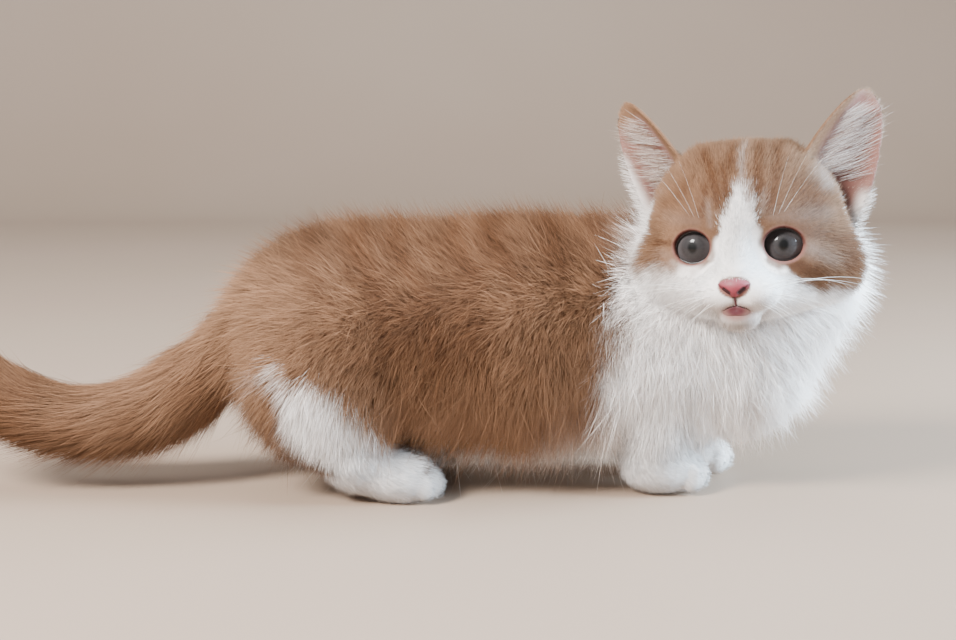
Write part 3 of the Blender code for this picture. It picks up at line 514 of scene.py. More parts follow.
def sample(field, lines):
    """Values of a field on grid lines, worked out only near its surface."""
    blocks = [line.reshape(-1, COARSE) for line in lines]
    middles = [block.mean(1) for block in blocks]
    rough = field(np.stack(np.meshgrid(*middles, indexing="ij"), -1))
    reach = [(block[:, -1] - block[:, 0]) * 0.5 + WIDE for block in blocks]
    reach = np.sqrt(sum(r**2 for r in np.meshgrid(*reach, indexing="ij")))
    counts = [len(block) for block in blocks]
    shape = [n for count in counts for n in (count, COARSE)]
    values = np.broadcast_to(rough[:, None, :, None, :, None], shape).copy()
    places = np.argwhere(np.abs(rough) < reach * 1.3)
    for part in np.array_split(places, len(places) // AT_ONCE + 1):
        x, y, z = (block[part[:, k]] for k, block in enumerate(blocks))
        axes = (x[:, :, None, None], y[:, None, :, None], z[:, None, None, :])
        points = np.stack(np.broadcast_arrays(*axes), -1)
        values[part[:, 0], :, part[:, 1], :, part[:, 2], :] = field(points)
    return values.reshape([count * COARSE for count in counts])


def cover(values, lines):
    """One point in each crossed cell, at the mean of the crossings' places."""
    inside = values < 0
    cells = np.array(values.shape) - 1
    total, crossings = np.zeros((*cells, 3), np.float32), np.zeros(cells, np.float32)
    for axis in range(3):
        others = [k for k in range(3) if k != axis]
        for first, second in ((0, 0), (0, 1), (1, 0), (1, 1)):
            start = [slice(None, -1)] * 3
            start[others[0]] = slice(first, cells[others[0]] + first)
            start[others[1]] = slice(second, cells[others[1]] + second)
            end = list(start)
            end[axis] = slice(1, None)
            a, b = values[tuple(start)], values[tuple(end)]
            crossed = (a < 0) != (b < 0)
            crossings += crossed
            total[..., axis] += np.where(crossed, a / np.where(crossed, a - b, 1), 0)
            total[..., others[0]] += crossed * first
            total[..., others[1]] += crossed * second
    used = crossings > 0
    number = np.full(cells, -1)
    number[used] = np.arange(used.sum())
    place = np.argwhere(used)
    offset = total[used] / crossings[used][:, None]
    points = np.empty((len(place), 3))
    for k, line in enumerate(lines):
        low, high = line[place[:, k]], line[place[:, k] + 1]
        points[:, k] = low + offset[:, k] * (high - low)
    faces = []
    for axis in range(3):
        others = [k for k in range(3) if k != axis]
        core = [slice(1, -1)] * 3
        core[axis] = slice(None, -1)
        after = list(core)
        after[axis] = slice(1, None)
        a, b = inside[tuple(core)], inside[tuple(after)]
        for leaving in (True, False):
            place = np.argwhere(a & ~b if leaving else ~a & b)
            place[:, others] += 1
            ring = []
            for first, second in ((1, 1), (0, 1), (0, 0), (1, 0)):
                cell = place.copy()
                cell[:, others[0]] -= first
                cell[:, others[1]] -= second
                ring.append(number[cell[:, 0], cell[:, 1], cell[:, 2]])
            ring = np.stack(ring, 1)
            faces.append(ring if leaving != (axis == 1) else ring[:, ::-1])
    return points, np.concatenate(faces)


# %% [markdown]
# Blender keeps a mesh as long lists of points, corners and faces.  Whole arrays
# go into those lists at once, which takes a moment for a million triangles.


# %% Meshes from arrays
def add_mesh(name, points, quads=(), triangles=()):
    """A smooth mesh object from arrays of points and of corner numbers."""
    quads, triangles = (np.asarray(part, np.int32) for part in (quads, triangles))
    mesh = bpy.data.meshes.new(name)
    corners = np.concatenate([quads.ravel(), triangles.ravel()])
    counts = np.concatenate([np.full(len(quads), 4), np.full(len(triangles), 3)])
    mesh.vertices.add(len(points))
    mesh.loops.add(len(corners))
    mesh.polygons.add(len(counts))
    mesh.vertices.foreach_set("co", np.asarray(points, np.float32).ravel())
    mesh.loops.foreach_set("vertex_index", corners.astype(np.int32))
    mesh.polygons.foreach_set("loop_start", (np.cumsum(counts) - counts).astype(np.int32))
    mesh.update(calc_edges=True)
    mesh.polygons.foreach_set("use_smooth", np.ones(len(counts), bool))
    piece = bpy.data.objects.new(name, mesh)
    bpy.context.scene.collection.objects.link(piece)
    return piece


def give(piece, name, values):
    """Keep one number for each point of a piece, for its material to read."""
    attribute = piece.data.attributes.new(name, "FLOAT", "POINT")
    attribute.data.foreach_set("value", np.asarray(values, np.float32))


def read_points(mesh, what):
    """Positions or normals of all points of a mesh."""
    values = np.empty(len(mesh.vertices) * 3, np.float32)
    if what == "co":
        mesh.vertices.foreach_get("co", values)
    else:
        mesh.vertex_normals.foreach_get("vector", values)
    return values.reshape(-1, 3).astype(float)



# %% [markdown]
# ## The bare skin
#
# It is one closed surface from the nose to the tip of the tail.  A museum
# would sculpt it in clay first and flock or implant the hair on it.  Decimate
# thins the grid's even faces, since the skin is nearly flat between them.

# %% Make the skin
SKIN_TRIANGLES = 210000
# From, to, and the range of fine steps over the head, along X, Y and Z
SKIN_RANGES = (
    (-0.215, 0.145, 0.046, 0.130),
    (-0.080, 0.060, -0.075, 0.010),
    (-0.006, 0.150, 0.058, 0.146),
)
lines = [grid_lines(*row) for row in SKIN_RANGES]
points, faces = cover(sample(skin, lines), lines)
skin_piece = add_mesh("skin", points, faces)
thin = skin_piece.modifiers.new("Thin", "DECIMATE")
thin.ratio = min(1.0, SKIN_TRIANGLES / (2 * len(faces)))
thin.use_collapse_triangulate = True
shown = skin_piece.evaluated_get(bpy.context.evaluated_depsgraph_get())
skin_mesh = bpy.data.meshes.new_from_object(shown)
skin_piece.modifiers.clear()
skin_piece.data = skin_mesh
skin_mesh.polygons.foreach_set("use_smooth", np.ones(len(skin_mesh.polygons), bool))
skin_points = read_points(skin_mesh, "co")
skin_points[:, 2] = np.maximum(skin_points[:, 2], 0)
skin_normals = read_points(skin_mesh, "normal")
print("skin:", len(points), "points before,", len(skin_points), "after thinning")


# %% [markdown]
# ## Markings
#
# One function gives the markings at any place, so that the skin and the tufts
# that grow on it agree.  White is the share of white hair, bar the darker
# ginger bars with painted shade and painted light mixed in on flank and face,
# and bare the pink places with hardly any hair.  The edges are frayed by smooth
# noise, because hairs of both colours cross them.

# %% Noise and bell curves
WAVES = RANDOM.normal(size=(5, 7, 3))
PHASES = RANDOM.uniform(0, 2 * np.pi, (5, 7))


def ripple(p, size, kind=0):
    """Smooth noise about -1 to 1: seven sines along skew directions."""
    waves = unit(WAVES[kind]) * (2 * np.pi / size) * np.linspace(0.7, 1.5, 7)[:, None]
    return np.sin(p @ waves.T + PHASES[kind]).sum(-1) / 2.6


def bump_at(values, middle, width):
    """A bell curve: e to the power of minus the squared distance in widths."""
    return np.exp(-(((values - middle) / width) ** 2))


# %% [markdown]
# The face has an M of dark stripes on the forehead, pale brows, dark corners
# of the eyes and bars on the cheeks.  Each is a soft stroke between two places.

# %% Face
# Strokes, in millimetres of the head's frame: from x, z to x, z, then half the
# width and the strength
DARK_STROKES = (
    (-10.5, 24.0, -7.1, 17.5, 1.2, 1.01),
    (-7.1, 17.5, -4.9, 9.0, 1.1, 1.35),
    (-9.4, 15.0, -10.3, 6.5, 1.0, 0.88),
    (-4.4, 20.5, -2.4, 10.8, 1.0, 1.08),
    (-2.7, 27.0, -1.6, 20.0, 1.2, 0.81),
    (6.6, 19.0, 7.3, 12.0, 1.1, 1.35),
    (7.2, 12.0, 5.1, 8.8, 0.9, 1.22),
    (12.1, 15.0, 10.3, 7.6, 1.1, 1.35),
    (6.1, 27.0, 6.3, 20.0, 1.2, 0.81),
    (11.2, 25.0, 12.5, 17.0, 1.3, 0.81),
    (18.0, 14.0, 24.0, 9.5, 3.3, 0.81),
    (-17.0, 14.0, -22.0, 10.0, 3.3, 0.74),
    (-27.0, -2.0, -20.4, -2.4, 0.9, 1.35),
    (20.8, 0.2, 29.5, -3.0, 1.0, 1.35),
    (33.0, -2.5, 33.0, -10.5, 2.1, 1.35),
    (16.5, -9.6, 23.0, -13.0, 1.8, 1.01),
    (-28.0, -6.0, -27.0, -10.0, 2.2, 0.61),
)
PALE_STROKES = (
    (-21.5, 5.5, -12.5, 4.6, 2.6, 0.09),
    (-8.4, 9.5, -8.0, 3.0, 1.3, 0.18),
    (10.5, 5.5, 26.5, 5.0, 2.6, 0.11),
    (8.6, 12.0, 8.4, 5.5, 1.1, 0.20),
    (22.5, -5.6, 27.5, -8.8, 2.8, 0.16),
    (-25.0, -5.5, -22.5, -6.5, 2.4, 0.12),
    (24.0, 19.0, 27.0, 14.0, 2.8, 0.30),
    (1.7, 15.0, 1.0, 27.0, 0.9, 0.31),
)
# The blaze's middle and half width by height, and the muzzle's edge across; the
# ginger reaches lower on the cheek of the kitten's left side
BLAZE_MIDDLE = ((-0.010, 0.0045, 0.010, 0.0165, 0.027), (0.0, 0.0010, 0.0017, 0.0022, 0.0012))
BLAZE_HALF = (
    (-0.012, -0.0085, -0.0025, 0.0045, 0.0092, 0.0133, 0.027),
    (0.014, 0.0088, 0.0072, 0.0054, 0.0034, 0.0018, 0.0010),
)
MUZZLE_EDGE = ((-0.03, 0.010, 0.0185, 0.026, 0.034), (-0.0108, -0.0095, -0.0165, -0.0190, -0.0180))
TEMPLE_RIGHT, TEMPLE_LEFT = 0.0062, -0.0055


def strokes(x, z, rows):
    """Soft lines: the greatest of bell curves of the distance to each one."""
    best = np.zeros(np.shape(x))
    for x0, z0, x1, z1, width, strength in rows:
        a, b = x * 1000 - x0, z * 1000 - z0
        t = (a * (x1 - x0) + b * (z1 - z0)) / ((x1 - x0) ** 2 + (z1 - z0) ** 2)
        t = np.clip(t, 0, 1)
        gap = np.hypot(a - (x1 - x0) * t, b - (z1 - z0) * t)
        best = np.maximum(best, strength * bump_at(gap, 0, width))
    return best


def head_white(q):
    """White of blaze, muzzle, chin, collar and temples in the head's frame, less a tan by the mouth and
    under the chin that is partly painted shade.
    """
    x, y, z = q[..., 0], q[..., 1], q[..., 2]
    fray = 0.0012 * ripple(q, 0.006, 1)
    past = np.abs(x - np.interp(z, *BLAZE_MIDDLE)) - np.interp(z, *BLAZE_HALF) + fray * 0.8
    blaze = ramp(past, 0.0018, -0.0014) * ramp(y, 0.0, 0.006)
    blaze = blaze * (0.10 + 0.90 * ramp(z + fray, 0.0165, 0.0110))
    muzzle = ramp(z - np.interp(x, *MUZZLE_EDGE) + fray, 0.0034, -0.0022)
    rear = np.where(x < 0, TEMPLE_RIGHT, TEMPLE_LEFT)
    temple = ramp(y - rear + fray, 0.0050, -0.0030) * ramp(z + fray, 0.014, 0.006)
    back = ramp(z + fray * 2, 0.004, -0.004) * ramp(y, 0.004, -0.004)
    pale = strokes(x, z, PALE_STROKES) * (y > 0)
    # A real tan tint at the mouth's corners, and below the lower lip a tan that is also painted shade under
    # the chin
    tan_and_shade = 0.20 * bump_at(np.abs(x), 0.0078, 0.0030) * bump_at(z, -0.0215, 0.0030)
    tan_and_shade = (tan_and_shade + 0.48 * bump_at(x, 0.0, 0.0100) * bump_at(z, -0.0268, 0.0046)) * (y > 0.012)
    return np.clip(np.maximum.reduce([blaze, muzzle, temple, back, pale]) - tan_and_shade, 0, 1)


def head_bars(q):
    """Darker stripes of the forehead, eye corners and cheeks, and painted shade on the brows and the left
    cheek.
    """
    x, z = q[..., 0], q[..., 2]
    fray = 0.0004 * ripple(q, 0.004, 2)
    dark = strokes(x + fray, z, DARK_STROKES) * ramp(q[..., 1], 0.0, 0.006)
    # Painted shade: the brows, which face the main light, and the left cheek, which the cool side light
    # falls on, are painted darker
    brow = bump_at(np.abs(x), 0.0170, 0.0110) * bump_at(z, 0.0045, 0.0050)
    cheek = bump_at(x, 0.0260, 0.0090) * bump_at(z, -0.0010, 0.0070)
    bars = dark + 0.28 + 0.38 * brow + 0.20 * cheek
    bars = bars + 0.15 * ramp(x, 0.004, 0.012) - 0.56 * ramp(x, -0.014, -0.022)
    return np.minimum(bars, 1)


# %% [markdown]
# The body is ginger above and white below: chest, belly, the fronts of the hind
# legs and all paws.  The tabby's bars are faint on the flank of so young a
# kitten, and its tail has soft rings.

# %% Body and tail
# The chest's edge along X by height, and the hind leg's edge in height along X
CHEST_EDGE = (
    (0.020, 0.055, 0.075, 0.083, 0.092, 0.098),
    (0.0400, 0.0440, 0.0470, 0.0560, 0.0600, 0.0520),
)
HIND_EDGE = (
    (-0.080, -0.0746, -0.0669, -0.0451, -0.0301, -0.0175),
    (0.040, 0.0440, 0.0465, 0.0385, 0.0250, 0.0130),
)
BAR_SPACING, PARTING_SPACING, RING_SPACING = 0.0165, 0.0056, 0.85
# A bar below zero is paler than plain ginger, as the painted light low on the flank is
PALEST_BAR = -0.45


def body_white(p, normals):
    """White of chest, belly, legs and paws."""
    x, y, z = p[..., 0], p[..., 1], p[..., 2]
    fray = 0.0022 * ripple(p, 0.012, 2) + 0.0012 * ripple(p, 0.005, 3)
    past = x + 1.4 * fray - np.interp(z, *CHEST_EDGE) - np.where(y > 0, 0.003, 0.0)
    chest = ramp(past + 0.25 * np.clip(0.026 - z, 0, None), -0.0040, 0.0040)
    chest = np.maximum(chest, 0.55 * ramp(z, 0.092, 0.097) * ramp(x, 0.036, 0.046))
    belly = ramp(np.abs(y), 0.013, 0.007) * ramp(z, 0.036, 0.030)
    belly = belly * ramp(z, 0.040, 0.030) * ramp(x, -0.06, -0.045)
    hind = ramp(z - np.interp(x, *HIND_EDGE) + fray, 0.0025, -0.0025) * ramp(x, -0.080, -0.074)
    streak = ramp(-normals[..., 0], 0.35, 0.65) * ramp(z, 0.008, 0.014)
    streak = streak * ramp(z, 0.050, 0.040) * ramp(x, -0.040, -0.046)
    hind = hind * (1 - streak) * ramp(np.abs(y), 0.006, 0.010)
    cream = 0.55 * ramp(x + fray, 0.012, 0.036) * ramp(z, 0.040, 0.026)
    return np.clip(np.maximum.reduce([chest, belly, hind, cream]), 0, 1)


def body_bars(p):
    """Faint upright bars and finer partings on the flank, a darker back and rump, painted shade on the
    middle of the flank and painted light low on it.
    """
    x, z = p[..., 0], p[..., 2]
    slanted = x + 0.25 * (z - 0.06) + 0.003 * ripple(p, 0.03, 4)
    bars = 0.5 + 0.5 * np.sin(slanted * 2 * np.pi / BAR_SPACING + 1.2)
    bars = bars**2 * (0.15 + 0.40 * ramp(z, 0.055, 0.085)) * ramp(x, -0.085, -0.03)
    slanted = x + 0.30 * (z - 0.05) + 0.0022 * ripple(p, 0.012, 1)
    parting = np.sin(slanted * 2 * np.pi / PARTING_SPACING)
    parting = 0.34 * ramp(parting, -0.3, 1.0) * ramp(z, 0.078, 0.060) * ramp(x, -0.045, -0.020)
    # Painted shade: the middle and lower flank is darker, as where light from above falls less
    patch = 0.60 * bump_at(x, -0.018, 0.028) * bump_at(z, 0.058, 0.018)
    patch = patch + 0.62 * ramp(z, 0.066, 0.090) * ramp(x, -0.110, -0.050) + parting * ramp(z, 0.020, 0.040)
    pale = 0.14 * ramp(x, -0.004, 0.012) * ramp(z, 0.082, 0.070)
    # Painted light: paler low on the flank, where little light reaches
    return np.clip(bars + patch - 0.40 * ramp(z, 0.050, 0.032) - pale, PALEST_BAR, 1)


def tail_place(p):
    """Place along the tail of the nearest of 81 points of its middle line."""
    places = np.linspace(0, len(TAIL) - 1.001, 81)
    middles = tail_points(places)[:, :3]
    nearest = np.zeros(len(p), int)
    for part in np.array_split(np.arange(len(p)), len(p) // 20000 + 1):
        nearest[part] = ((p[part, None] - middles) ** 2).sum(-1).argmin(1)
    return places[nearest]


def tail_rings(place):
    """Rings round the tail, darker towards its tip."""
    wave = 0.5 + 0.5 * np.sin(place * 2 * np.pi / RING_SPACING)
    return 0.20 + 0.24 * wave**2 + 0.55 * ramp(place, 2.0, 4.5)


# %% [markdown]
# Every place has a share in the head, the ears, the trunk, the tail and the
# legs, which fade into each other.  The markings, and later the lie and length
# of the hair, are mixed by these shares, so nothing jumps at a border.

# %% Marks of the whole kitten
# Column of each ear's share, and its side
EARS = ((1, 1), (2, -1))
EAR_SKIN, SHARE_BLEND = 0.001, 0.0022
LIP_OVAL = (0.0056, 0.0030)


def shares(p):
    """Share of head, both ears, trunk, tail and four legs in each place."""
    q = to_head(p)
    parts = [skull(q) + coat_depth(q), ear(q, 1) - EAR_SKIN, ear(q, -1) - EAR_SKIN]
    parts += [trunk(p) + TRUNK_DEPTH, tail(p, TAIL_BARE)]
    parts += [leg + PAW_DEPTH + 0.001 for leg in four_legs(p)]
    parts = np.stack(parts, -1)
    weight = np.exp(-(parts - parts.min(-1, keepdims=True)) / SHARE_BLEND)
    return weight / weight.sum(-1, keepdims=True)


def ear_fringe(h, u, side):
    """Where white fringe hair grows over the ear's outer edge, low down."""
    top, end = (-0.02, 0.16) if side > 0 else (0.40, 0.66)
    return ramp(u, 0.60, 0.88) * ramp(h, end, top)


def marks(p, normals, part):
    """White, bar and bare at each place, mixed from the parts of the body."""
    q = to_head(p)
    on_head = part[:, :3].sum(-1)
    white = body_white(p, normals) * (1 - part[:, 4])
    bars = body_bars(p) * (1 - part[:, 4]) + tail_rings(tail_place(p)) * part[:, 4]
    white = white * (1 - on_head) + head_white(q) * part[:, 0]
    bars = bars * (1 - on_head) + head_bars(q) * part[:, 0]
    inner, deep = 0, 0
    for index, side in EARS:
        faces_out = (normals @ HEAD_AXES) @ ear_axes(side)[3]
        h, u = on_ear(q, side)
        fringe = ear_fringe(h, u, side)
        inside = part[:, index] * ramp(faces_out, 0.0, 0.35) * ramp(h, -0.35, -0.1) * ramp(u, -0.74, -0.34)
        below_tip = ramp(h, 0.97, 0.84) if side > 0 else ramp(h, 0.84, 0.64)
        inside = inside * (1 - 0.85 * fringe) * below_tip
        inner = inner + inside
        # Painted shade in the ear's hollow, darkest low in its cup
        deep = np.maximum(deep, inside * bump_at(h, -0.05, 0.28) * bump_at(u, 0.30, 0.55))
        white = white + part[:, index] * (0.35 * ramp(h, 0.35, -0.1) * ramp(faces_out, -0.3, -0.6))
        white = white + 0.30 * inside + 0.75 * part[:, index] * fringe * ramp(faces_out, -0.4, 0.2)
    bare = inner
    for side in (-1, 1):
        e = to_eye(q, side)
        rim = ramp(openings(e), 1.22, 1.06) * (e[:, 2] > 0)
        above = ramp(e[:, 1] / EYE_OPENING[1], -0.3, 0.5)
        bare, deep = bare + rim, np.maximum(deep, (0.35 + 0.65 * above) * rim)
    half = halved(q)
    bare = bare + ramp(mass(half, (NOSE[0], np.add(NOSE[1], 0.0004))), 0.0003, -0.0002)
    from_lip = np.hypot(half[:, 0] / LIP_OVAL[0], (q[:, 2] - MOUTH_TOP + 0.0017) / LIP_OVAL[1])
    bare = bare + 0.85 * ramp(from_lip, 1.30, 0.55) * (q[:, 1] > 0.02)
    white, bars = np.clip(white, 0, 1) ** 1.6, np.clip(bars, PALEST_BAR, 1)
    return white, bars, np.clip(bare, 0, 1), inner, deep


def painted_shade(p, part):
    """Painted shade: how much darker skin and coat are painted on the nose's bridge and its side towards
    the left eye, and on the paws, the near ones most.
    """
    q = to_head(p)
    # Painted shade on the bridge and its side, and on the lower paws, standing in for the shade that falls
    # there
    bridge = bump_at(q[:, 0], 0.001, 0.007) + 0.5 * bump_at(q[:, 0], 0.0065, 0.0022)
    bridge = 0.38 * bridge * part[:, 0] * bump_at(q[:, 2], 0.0, 0.012) * (q[:, 1] > 0.010)
    paws = (0.10 + 0.28 * (p[:, 1] < 0)) * part[:, 5:].sum(1) * ramp(p[:, 2], 0.034, 0.010)
    return bridge + paws


skin_shares = shares(skin_points)
white, bars, bare, inner, hollow_shade_and_lid = marks(skin_points, skin_normals, skin_shares)
# The skin's shade holds only the painted shade of the bridge and the paws
shade = 1 - painted_shade(skin_points, skin_shares)
for name, values in (("white", white), ("bar", bars), ("bare", bare), ("deep", hollow_shade_and_lid), ("shade", shade)):
    give(skin_piece, name, values)
print("share of white:", round(float(white.mean()), 2), " of bars:", round(float(bars.mean()), 2))

# %% [markdown]
# ## Materials
#
# Every colour has a name and is given as seen on a screen; one function turns
# it to amounts of light.  Each material starts from the real stuff.  The scale
# of a pattern is a count of its patches over a real length in millimetres.

# %% Colours and nodes
COLOURS = {
    "ginger_root": "#5d412d",
    "ginger_tip": "#8a6b54",
    "bar_root": "#3d2617",
    "bar_tip": "#64442e",
    "white_root": "#eee7e4",
    "white_tip": "#fefcfb",
    "bare_skin": "#8b645b",
    "ear_skin": "#755048",
    # Painted shade of the ears' hollows, and the lids' own brown round the eyes
    "hollow_shade_and_lid": "#3c1c17",
    "nose": "#823540",
    "nostril_shade": "#2c0b10",
    "nose_pale": "#86595f",
    "lip": "#582a31",
    "lip_dark": "#41161c",
    "lip_edge": "#80605a",
    "lid": "#120b0a",
    "lid_pink": "#3d1d1a",
    "iris": "#292728",
    "iris_dark": "#1a1819",
    "iris_pale": "#464243",
    "iris_edge_light": "#4f4b4c",
    "limbus": "#0e0e0e",
    "pupil_black": "#020202",
    "whisker": "#f3f1ee",
    "floor": "#97816f",
    "floor_pale": "#9f8b7b",
}


def linear(name):
    """A named sRGB hex colour as linear red, green, blue and alpha."""
    text = COLOURS[name]
    channels = [int(text[i : i + 2], 16) / 255 for i in (1, 3, 5)]
    return [c / 12.92 if c <= 0.04045 else ((c + 0.055) / 1.055) ** 2.4 for c in channels] + [1.0]


def add(tree, kind, inputs=None, output=0, **settings):
    """Add a node and give one of its outputs.

    An input is a number, the output of another node, a colour's name, or the
    name of a number that is kept at each point of the piece.
    """
    made = tree.nodes.new("ShaderNode" + kind)
    for key, value in settings.items():
        setattr(made, key, value)
    for key, value in (inputs or {}).items():
        if isinstance(value, str):
            kept = {"output": "Fac", "attribute_name": value}
            value = linear(value) if value in COLOURS else add(tree, "Attribute", **kept)
        if isinstance(value, bpy.types.NodeSocket):
            tree.links.new(value, made.inputs[key])
        else:
            made.inputs[key].default_value = value
    return made.outputs[output]


def new_material(name, **settings):
    """A material with its tree and its shader; settings go on the shader."""
    made = bpy.data.materials.new(name)
    made.use_nodes = True
    shader = made.node_tree.nodes["Principled BSDF"]
    for key, value in settings.items():
        shader.inputs[key.replace("_", " ")].default_value = value
    return made, made.node_tree, shader


def layered(tree, colour, *layers, blend="MIX"):
    """A colour with others laid over it, each by a share from 0 to 1."""
    for share, over in layers:
        inputs = {0: share, 6: colour, 7: over}
        colour = add(tree, "Mix", inputs, 2, data_type="RGBA", blend_type=blend)
    return colour


def patches(tree, kind, count, length, output="Fac", **inputs):
    """A pattern that has so many patches over a length in millimetres."""
    place = add(tree, "TexCoord", output="Object")
    return add(tree, kind, {"Vector": place, "Scale": 1000 * count / length, **inputs}, output)


def shaded(tree, colour):
    """A colour times the shade that is kept at each point."""
    grey = add(tree, "CombineColor", dict.fromkeys(("Red", "Green", "Blue"), "shade"))
    return layered(tree, colour, (1.0, grey), blend="MULTIPLY")


print("colours:", len(COLOURS))


# %% [markdown]
# Kitten fur is short and downy.  Each hair is darker at its root, where less
# light comes, and paler at its tip, and it differs a little from the next.  The
# hairs lie so loosely that the coat has hardly any gloss.


# %% Fur
def coat_colour(tree, along):
    """Ginger, darker bars over it and white over both, each from root to tip."""
    kinds = ("ginger", "bar", "white")
    ginger, bar, pale = (layered(tree, f"{kind}_root", (along, f"{kind}_tip")) for kind in kinds)
    return layered(tree, ginger, ("bar", bar), ("white", pale))


def fur():
    """Soft dull hair: the shade of each tuft gives the coat its depth."""
    made, tree, shader = new_material("kitten_fur", Roughness=0.7, Specular_IOR_Level=0.1)
    tree.links.new(shaded(tree, coat_colour(tree, "along")), shader.inputs["Base Color"])
    return made


coat_material = fur()


# %% [markdown]
# The skin shows only in the ears, round the eyes and between hairs.  There it
# is pink and dry, with pores and small blood vessels that mottle it; under the
# coat it takes the coat's own colours, so that no gap between tufts shows.


# %% Skin
def skin_and_down():
    """Dull skin with down of 1.1 mm patches and a mottling of 2.4 mm."""
    made, tree, shader = new_material("kitten_skin", Roughness=0.75, Specular_IOR_Level=0.2)
    down = patches(tree, "TexNoise", 9, 10, Detail=3.0)
    mottle = patches(tree, "TexNoise", 21, 50, Detail=4.0)
    half_down = add(tree, "Math", {0: down, 1: 0.55}, operation="MULTIPLY")
    # Deep lays painted shade in the ears' hollows and the lids' brown round the eyes
    flesh = layered(tree, "ear_skin", (mottle, "bare_skin"), ("deep", "hollow_shade_and_lid"))
    colour = layered(tree, coat_colour(tree, half_down), ("bare", flesh))
    tree.links.new(shaded(tree, colour), shader.inputs["Base Color"])
    bumps = add(tree, "Bump", {"Height": down, "Strength": 0.25, "Distance": 0.0004})
    tree.links.new(bumps, shader.inputs["Normal"])
    return made


skin_material = skin_and_down()
skin_mesh.materials.clear()
skin_mesh.materials.append(skin_material)


# %% [markdown]
# Nose leather is bare, moist skin with fine pebbles, less than half a
# millimetre across, that break its gloss up.  Lips and lid rims are smooth and
# moist, and so small that a faint mottling is all that the eye finds in them.


# %% Nose, lips and lids
def nose_skin():
    """Pink pebbled skin, paler above, with painted shade in the nostrils and creases."""
    made, tree, shader = new_material("nose_leather", Roughness=0.5, Specular_IOR_Level=0.3)
    blotch = patches(tree, "TexNoise", 3, 10)
    colour = layered(tree, "nose", ("pale", "nose_pale"), (blotch, "nose"), ("deep", "nostril_shade"))
    tree.links.new(colour, shader.inputs["Base Color"])
    pebbles = patches(tree, "TexVoronoi", 13, 5, "Distance")
    bumps = add(tree, "Bump", {"Height": pebbles, "Strength": 0.3, "Distance": 0.0002})
    tree.links.new(bumps, shader.inputs["Normal"])
    return made


def lip_skin():
    """Dark pink with blotches of 2 mm, and paler where it meets the fur."""
    made, tree, shader = new_material("lip", Roughness=0.55, Specular_IOR_Level=0.3)
    blotch = patches(tree, "TexNoise", 5, 10)
    colour = layered(tree, "lip_dark", (blotch, "lip"), ("edge", "lip_edge"))
    tree.links.new(colour, shader.inputs["Base Color"])
    return made


def lid_skin():
    """Nearly black where the lid touches the ball, and pink outside."""
    made, tree, shader = new_material("eyelid_rim", Roughness=0.35, Specular_IOR_Level=0.5)
    blotch = patches(tree, "TexNoise", 6, 10)
    colour = layered(tree, "lid", ("pink", "lid_pink"), (blotch, "lid"))
    tree.links.new(colour, shader.inputs["Base Color"])
    return made


nose_material, lip_material, lid_material = nose_skin(), lip_skin(), lid_skin()


# %% [markdown]
# The wet cornea gives sharp small highlights over a dull, fibrous iris.  The
# gloss is a clear coat.  Colours follow numbers that the ball keeps: how far out
# a point lies, with 1 at the iris's edge, its turn, and its place in pupils.


# %% Eye
# What falls from 0 at the first value to 1 at the second of a kept number
EYE_RANGES = (("out", 0.60, 0.95), ("out", 1.03, 1.12), ("out", 0.60, 0.25), ("pupil", 1.45, 0.80))


def wet_eye():
    """Grey iris with fibres, painted light at its edge against the lids' shade, a dark ring round it, and a
    pupil.
    """
    gloss = {"Coat_Weight": 1.0, "Coat_IOR": 1.26, "Coat_Roughness": 0.02}
    made, tree, shader = new_material("wet_eye", Roughness=0.5, Specular_IOR_Level=0.1, **gloss)
    edge, ring, near_pupil, hole = (
        add(tree, "MapRange", {"Value": value, "From Min": start, "From Max": end})
        for value, start, end in EYE_RANGES
    )
    near_pupil = add(tree, "Math", {0: near_pupil, 1: 0.50}, operation="MULTIPLY")
    around = add(tree, "CombineXYZ", {"X": "turn", "Y": "out"})
    fibres = add(tree, "TexNoise", {"Vector": around, "Scale": 5.0, "Detail": 4.0}, "Fac")
    iris = layered(tree, "iris_dark", (fibres, "iris_pale"), (0.5, "iris"))
    # Painted light: the iris is paler towards its edge, to make up for the shade that lids and fur cast
    # there
    iris = layered(tree, iris, (edge, "iris_edge_light"), (ring, "limbus"), (near_pupil, "iris_dark"))
    tree.links.new(layered(tree, iris, (hole, "pupil_black")), shader.inputs["Base Color"])
    return made


eye_material = wet_eye()


# %% [markdown]
# A whisker is a stiff, smooth and nearly white hair, with a little gloss.


# %% Whisker
def whisker_horn():
    """White horn with a mottling of 8 mm along its length."""
    made, tree, shader = new_material("whisker", Roughness=0.35, Specular_IOR_Level=0.6)
    blotch = patches(tree, "TexNoise", 3, 25)
    colour = layered(tree, "white_tip", (blotch, "whisker"))
    tree.links.new(colour, shader.inputs["Base Color"])
    return made


whisker_material = whisker_horn()
print("materials:", ", ".join(material.name for material in bpy.data.materials))


# %% [markdown]
# ## Tufts
#
# A tuft is a closed, three-sided spike that leaves the skin, bends back along
# the lie and ends in a point.  Neighbouring tips are drawn together, as they
# are in a soft coat.  All tufts of a piece are made at once from arrays, and as
# real meshes, so that they can be measured and exported like any other piece.

# %% Drawing tips together
SCATTER = np.array([[12.99, 78.23, 37.72], [39.35, 11.13, 83.15], [73.16, 52.24, 9.15]])
SCATTER_SIZE = 4375.85


